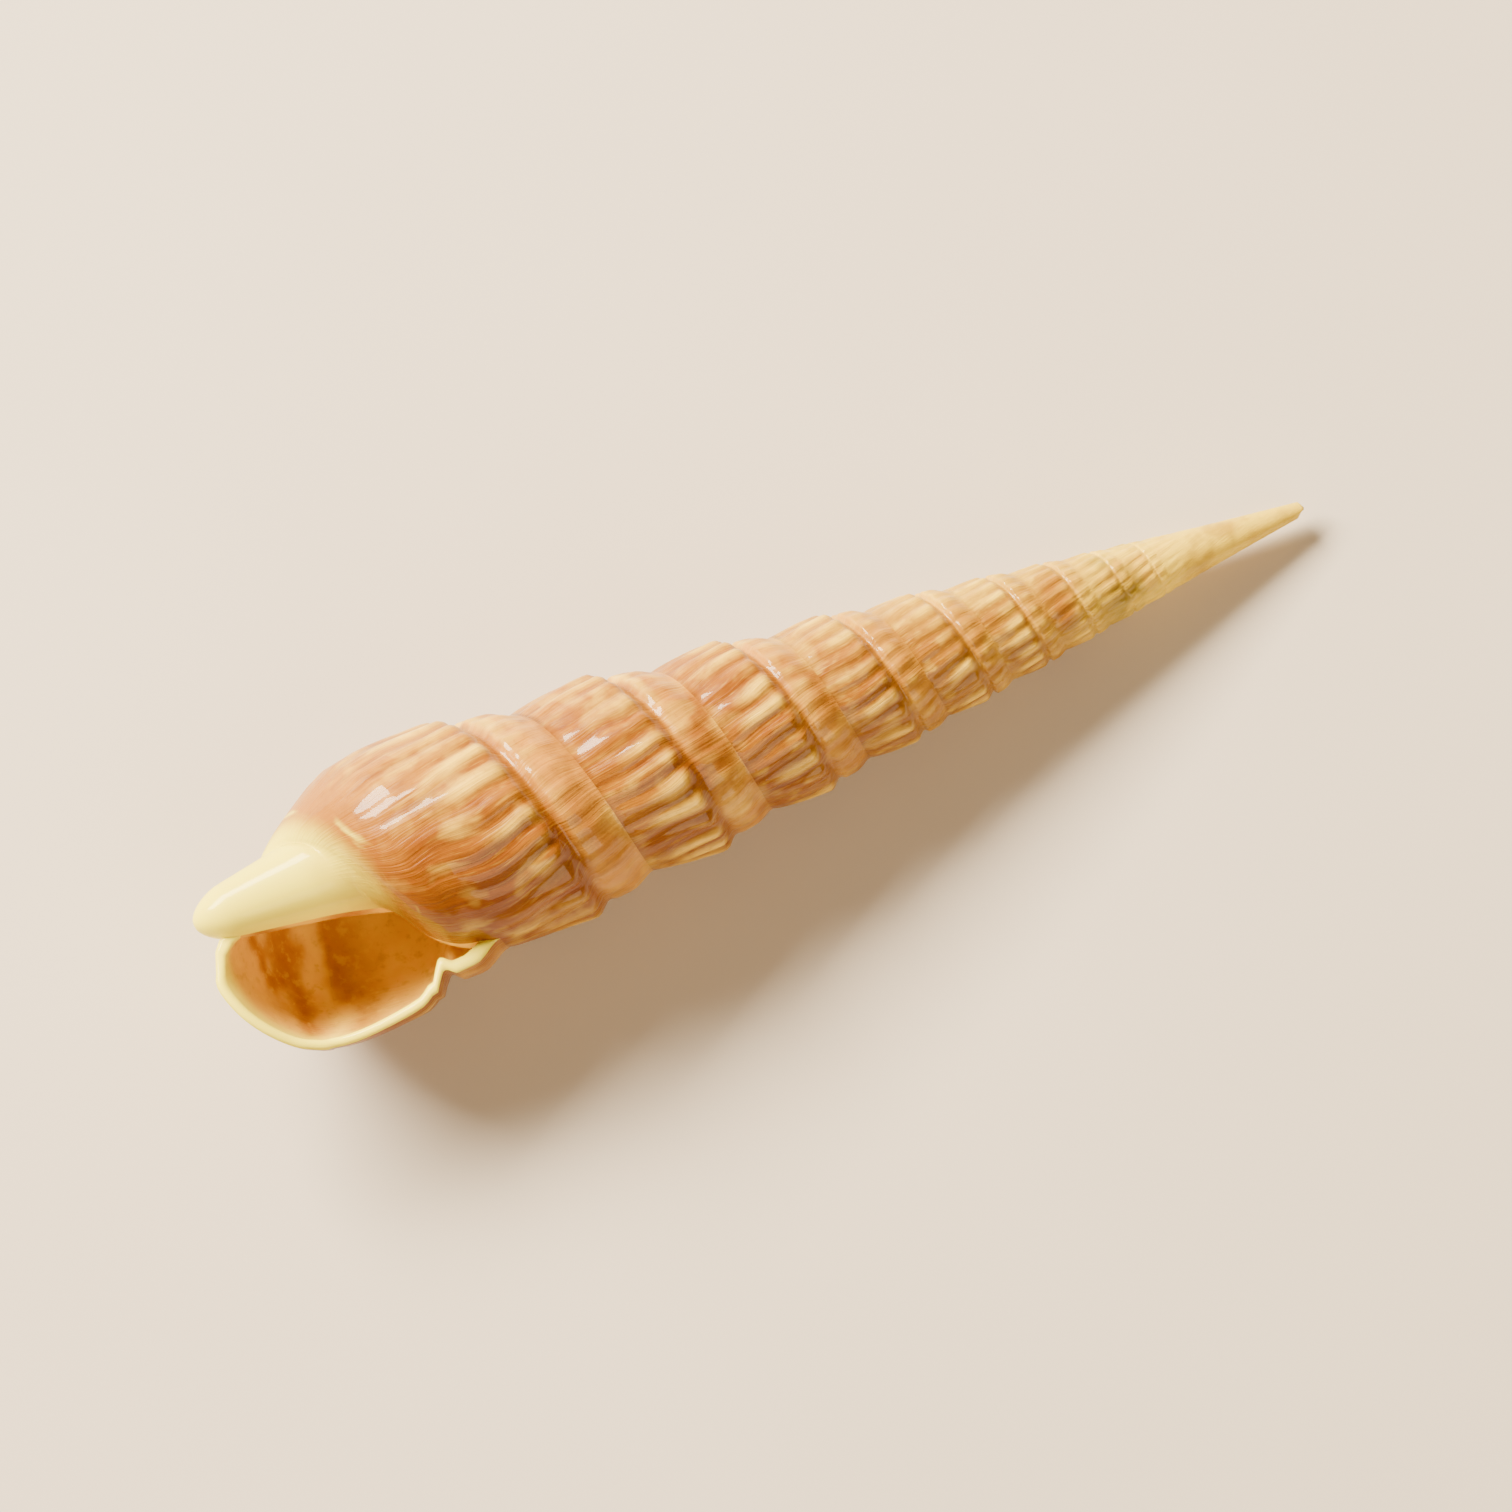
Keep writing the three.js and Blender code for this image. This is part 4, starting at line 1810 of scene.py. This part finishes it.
    def mottled(
        self, n: Maker, spot: Spot, colour: bpy.types.NodeSocket, on_band: Value
    ) -> bpy.types.NodeSocket:
        """Blotches over everything, then fine mottling drawn out along the ribs.

        Args:
            n: the material's tree.
            spot: the marks and patterns.
            colour: the colour under them.
            on_band: 1 on the smooth band.

        Returns:
            The colour.
        """
        p = self.pigments
        blotch = n.blotches(spot.place, self.mottling.blotch)
        grain = n.blotches(spot.place, self.mottling.grain, 3.0, 0.6)
        drawn = (1 - 0.6 * on_band) * (0.35 + 0.65 * n.ease(1.15, 0.9, spot.wavy))
        colour = n.colour(colour, p.streak, n.ease(0.52, 0.68, blotch) * 0.3)
        colour = n.colour(colour, p.cream, n.ease(0.46, 0.32, blotch) * 0.22)
        colour = n.colour(colour, p.streak, n.ease(0.5, 0.72, spot.hairs) * 0.24 * drawn)
        colour = n.colour(colour, p.cream, n.ease(0.46, 0.28, spot.hairs) * 0.16 * drawn)
        return n.colour(colour, p.streak, n.ease(0.5, 0.75, grain) * 0.2)

    def ends(self, n: Maker, spot: Spot, colour: bpy.types.NodeSocket) -> bpy.types.NodeSocket:
        """Pales the upper whorls, partly as painted light, and the spout, paints highlight strokes at the
        neck, and colours the tip, with a patch of painted shade on the upper whorls.

        Args:
            n: the material's tree.
            spot: the marks and patterns.
            colour: the colour under them.

        Returns:
            The colour.
        """
        p = self.pigments
        # Paler towards the tip and more so on the side facing the window: partly the shell's own colour,
        # partly painted light
        paler = n.ease(22.0, 40.0, spot.along) * (0.12 + 0.25 * spot.sunny)
        colour = n.colour(colour, p.tip, paler)
        colour = n.colour(colour, p.orange, n.ease(1.0, 1.3, spot.wavy) * 0.2)
        # Painted highlight: short cream strokes along the neck's fold, where its keel would catch the light
        short = n.noise(n.point(spot.turn * 9.0, spot.wavy * 6.0, 2.0))
        painted_fold_highlights = n.hill(1.47, 0.06, spot.wavy) * n.ease(0.48, 0.66, short)
        colour = n.colour(colour, p.spout, painted_fold_highlights * 0.6)
        fading = n.ease(9.5, 4.5, spot.along + (spot.clouds - 0.5) * 3.0)
        colour = n.colour(colour, p.spout, fading * n.ease(1.46, 1.8, spot.wavy))
        pale = n.colour(p.tip, p.gold, n.ease(0.45, 0.7, spot.clouds))
        colour = n.colour(colour, pale, n.ease(37.0, 43.5, spot.along) * 0.9)
        # Painted shade: an orange patch on the upper whorls, on the side away from the window
        painted_shade_patch = n.hill(38.6, 1.0, spot.along) * n.ease(0.4, 0.6, spot.clouds) * (1 - spot.sunny)
        colour = n.colour(colour, p.orange, painted_shade_patch * 0.7)
        warm = n.ease(42.0, 46.0, spot.along) * n.ease(0.5, 0.68, spot.spots)
        colour = n.colour(colour, p.orange, warm * 0.5)
        smudge = n.hill(41.6, 2.2, spot.along) * n.ease(0.4, 0.6, spot.spots)
        return n.colour(colour, p.olive, smudge * 0.7)

    def inside(self, n: Maker, spot: Spot) -> bpy.types.NodeSocket:
        """Colour of the hollow, cream at the lip and amber within, with painted light at its back end and on
        its upper wall.

        Args:
            n: the material's tree.
            spot: the marks and patterns.

        Returns:
            The colour.
        """
        p = self.pigments
        clouds = n.blotches(spot.place, self.mottling.hollow_clouds)
        grain = n.blotches(spot.place, self.mottling.hollow_grain, 3.0, 0.6)
        uneven = spot.along + (clouds - 0.5) * 5.0
        deep = n.math("MAXIMUM", n.hill(2.6, 1.3, uneven), n.hill(6.0, 1.7, uneven))
        colour = n.colour(p.amber, p.deep_amber, deep * 0.85)
        colour = n.colour(colour, p.red_brown, n.ease(0.45, 0.7, clouds) * 0.3 * deep)
        colour = n.colour(colour, p.cream, n.hill(4.3, 1.0, uneven) * 0.7)
        # Painted light: cream towards the back end of the hollow and on the upper part of its outer wall,
        # lifting what falls into shade in the deep hollow
        colour = n.colour(colour, p.cream, n.ease(7.0, 8.8, uneven) * 0.75)
        colour = n.colour(colour, p.cream, n.ease(1.1, 0.7, spot.across) * 0.35)
        colour = n.colour(colour, p.streak, n.ease(0.52, 0.7, grain) * 0.2)
        colour = n.colour(colour, p.cream, n.ease(0.48, 0.3, grain) * 0.3)
        return n.colour(colour, p.spout, n.ease(0.5, 0.57, spot.turn))


@dataclass(frozen=True)
class View:
    """The photograph's camera, measured against the shell's axis."""

    swing_degrees: float = 80.4
    axis_seen: tuple[float, float] = (0.92829, -0.37188)
    centre: tuple[float, float, float] = (25.0, 0.0, 0.0)
    away: float = 420.0
    focal_pixels: float = 10056.0
    photo_pixels: float = 1512.0
    lowered_pixels: float = 29.5
    pixels_per_mm: float = 23.94
    sensor_width: float = 36.0


@dataclass(frozen=True)
class Lamp:
    """One soft light: degrees right and up of the camera's line, millimetres, watts and tint."""

    name: str
    lean: tuple[float, float]
    away: float
    size: tuple[float, float]
    power: float
    tint: str


@dataclass(frozen=True)
class Floor:
    """Matt pale paper: two shades, the width of their blotches and half its own, in millimetres."""

    dark: str = "#d0c8bb"
    light: str = "#d9d1c5"
    blotch: float = 25.0
    half: float = 1500.0
    roughness: float = 0.85


class Studio:
    """Pale floor, soft light from above and the left, and the photograph's camera."""

    GLOW = "#ffe2bc"
    GLOW_STRENGTH = 0.2
    LAMPS = (
        Lamp("window", (-52.0, 50.0), 420.0, (320.0, 140.0), 12.0, "#ffecce"),
        Lamp("fill", (30.0, -35.0), 600.0, (400.0, 400.0), 3.0, "#ffdcb0"),
    )

    def __init__(self, lay: Lay, view: View, floor: Floor) -> None:
        """Keeps what it is made from.

        Args:
            lay: how the shell lies, which the camera was measured against.
            view: the camera.
            floor: the paper under the shell.
        """
        self.lay = lay
        self.view = view
        self.floor = floor
        swing = math.radians(view.swing_degrees)
        self.toward = Vector((-math.cos(swing), math.sin(swing), 0.0))
        along = (Vector((1, 0, 0)) - self.toward * self.toward.x) / math.sin(swing)
        across = Vector((0, 0, 1))
        seen = Vector(view.axis_seen)
        self.centre = Vector(view.centre)
        self.right = along * seen.x - across * seen.y
        self.up = -(along * seen.y + across * seen.x)

    def world(self, point: Vector) -> Vector:
        """Moves a point from the axis's frame to the floor's.

        Args:
            point: millimetres in the axis's frame.

        Returns:
            Metres in the floor's frame.
        """
        return (self.lay.matrix() @ point) * MM

    def camera(self) -> bpy.types.Object:
        """Sets up the camera.

        Returns:
            The camera.
        """
        view = self.view
        data = bpy.data.cameras.new("camera")
        data.sensor_width = view.sensor_width
        data.lens = view.focal_pixels / view.photo_pixels * view.sensor_width
        data.clip_start = 0.01
        data.clip_end = 10.0
        camera = bpy.data.objects.new("camera", data)
        bpy.context.scene.collection.objects.link(camera)
        axes = Matrix((self.right, self.up, self.toward)).transposed()
        turn = self.lay.matrix().to_3x3() @ axes
        lowered = self.up * (view.lowered_pixels / view.pixels_per_mm)
        spot = self.world(self.centre + self.toward * view.away - lowered)
        camera.matrix_world = Matrix.Translation(spot) @ turn.to_4x4()
        bpy.context.scene.camera = camera
        return camera

    def hang(self, lamp: Lamp) -> None:
        """Hangs one light, turned to the shell.

        Args:
            lamp: the light.
        """
        data = bpy.data.lights.new(lamp.name, "AREA")
        data.shape = "RECTANGLE"
        data.size = lamp.size[0] * MM
        data.size_y = lamp.size[1] * MM
        data.energy = lamp.power
        data.color = linear(lamp.tint)[:3]
        light = bpy.data.objects.new(lamp.name, data)
        bpy.context.scene.collection.objects.link(light)
        right, up = (math.tan(math.radians(a)) for a in lamp.lean)
        way = (self.toward + self.right * right + self.up * up).normalized()
        spot = self.world(self.centre + way * lamp.away)
        aim = spot - self.world(self.centre)
        light.location = spot
        light.rotation_euler = aim.to_track_quat("Z", "Y").to_euler()

    def paper(self) -> bpy.types.Material:
        """Makes the floor's paper.

        Returns:
            The material.
        """
        paper = bpy.data.materials.new("pale_paper")
        paper.use_nodes = True
        paper.node_tree.nodes.clear()
        n = Maker(paper.node_tree)
        grain = n.blotches(n.add("ShaderNodeTexCoord").outputs["Object"], self.floor.blotch)
        shade = n.colour(self.floor.dark, self.floor.light, grain)
        inputs = {"Base Color": shade, "Roughness": self.floor.roughness}
        shader = n.add("ShaderNodeBsdfPrincipled", inputs)
        n.add("ShaderNodeOutputMaterial", {"Surface": shader.outputs[0]})
        return paper

    def build(self) -> None:
        """Lays the floor, hangs the lights and sets the sky's glow."""
        mesh = bpy.data.meshes.new("floor")
        half = self.floor.half * MM
        corners = [(-half, -half, 0), (half, -half, 0), (half, half, 0), (-half, half, 0)]
        mesh.from_pydata(corners, [], [(0, 1, 2, 3)])
        floor = bpy.data.objects.new("floor", mesh)
        bpy.context.scene.collection.objects.link(floor)
        mesh.materials.append(self.paper())
        sky = bpy.data.worlds.new("studio")
        bpy.context.scene.world = sky
        sky.use_nodes = True
        glow = next(node for node in sky.node_tree.nodes if node.type == "BACKGROUND")
        glow.inputs["Color"].default_value = linear(self.GLOW)
        glow.inputs["Strength"].default_value = self.GLOW_STRENGTH
        for lamp in self.LAMPS:
            self.hang(lamp)
        LOG.info("studio: floor, two lights and camera")


def main() -> None:
    """Builds the shell, its finish and the studio in turn."""
    logging.basicConfig(level=logging.INFO, format="%(name)s %(message)s")
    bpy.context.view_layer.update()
    lay = Lay()
    finish = ShellFinish(Pigments(), Gloss(), Mottling()).build()
    shell = ShellForm(Winding(), Outline(), Ribs(), Mouth(), Keys(), lay).build(finish)
    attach(shell, "root")
    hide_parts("shell")
    studio = Studio(lay, View(), Floor())
    studio.build()
    studio.camera()


if __name__ == "__main__":
    main()
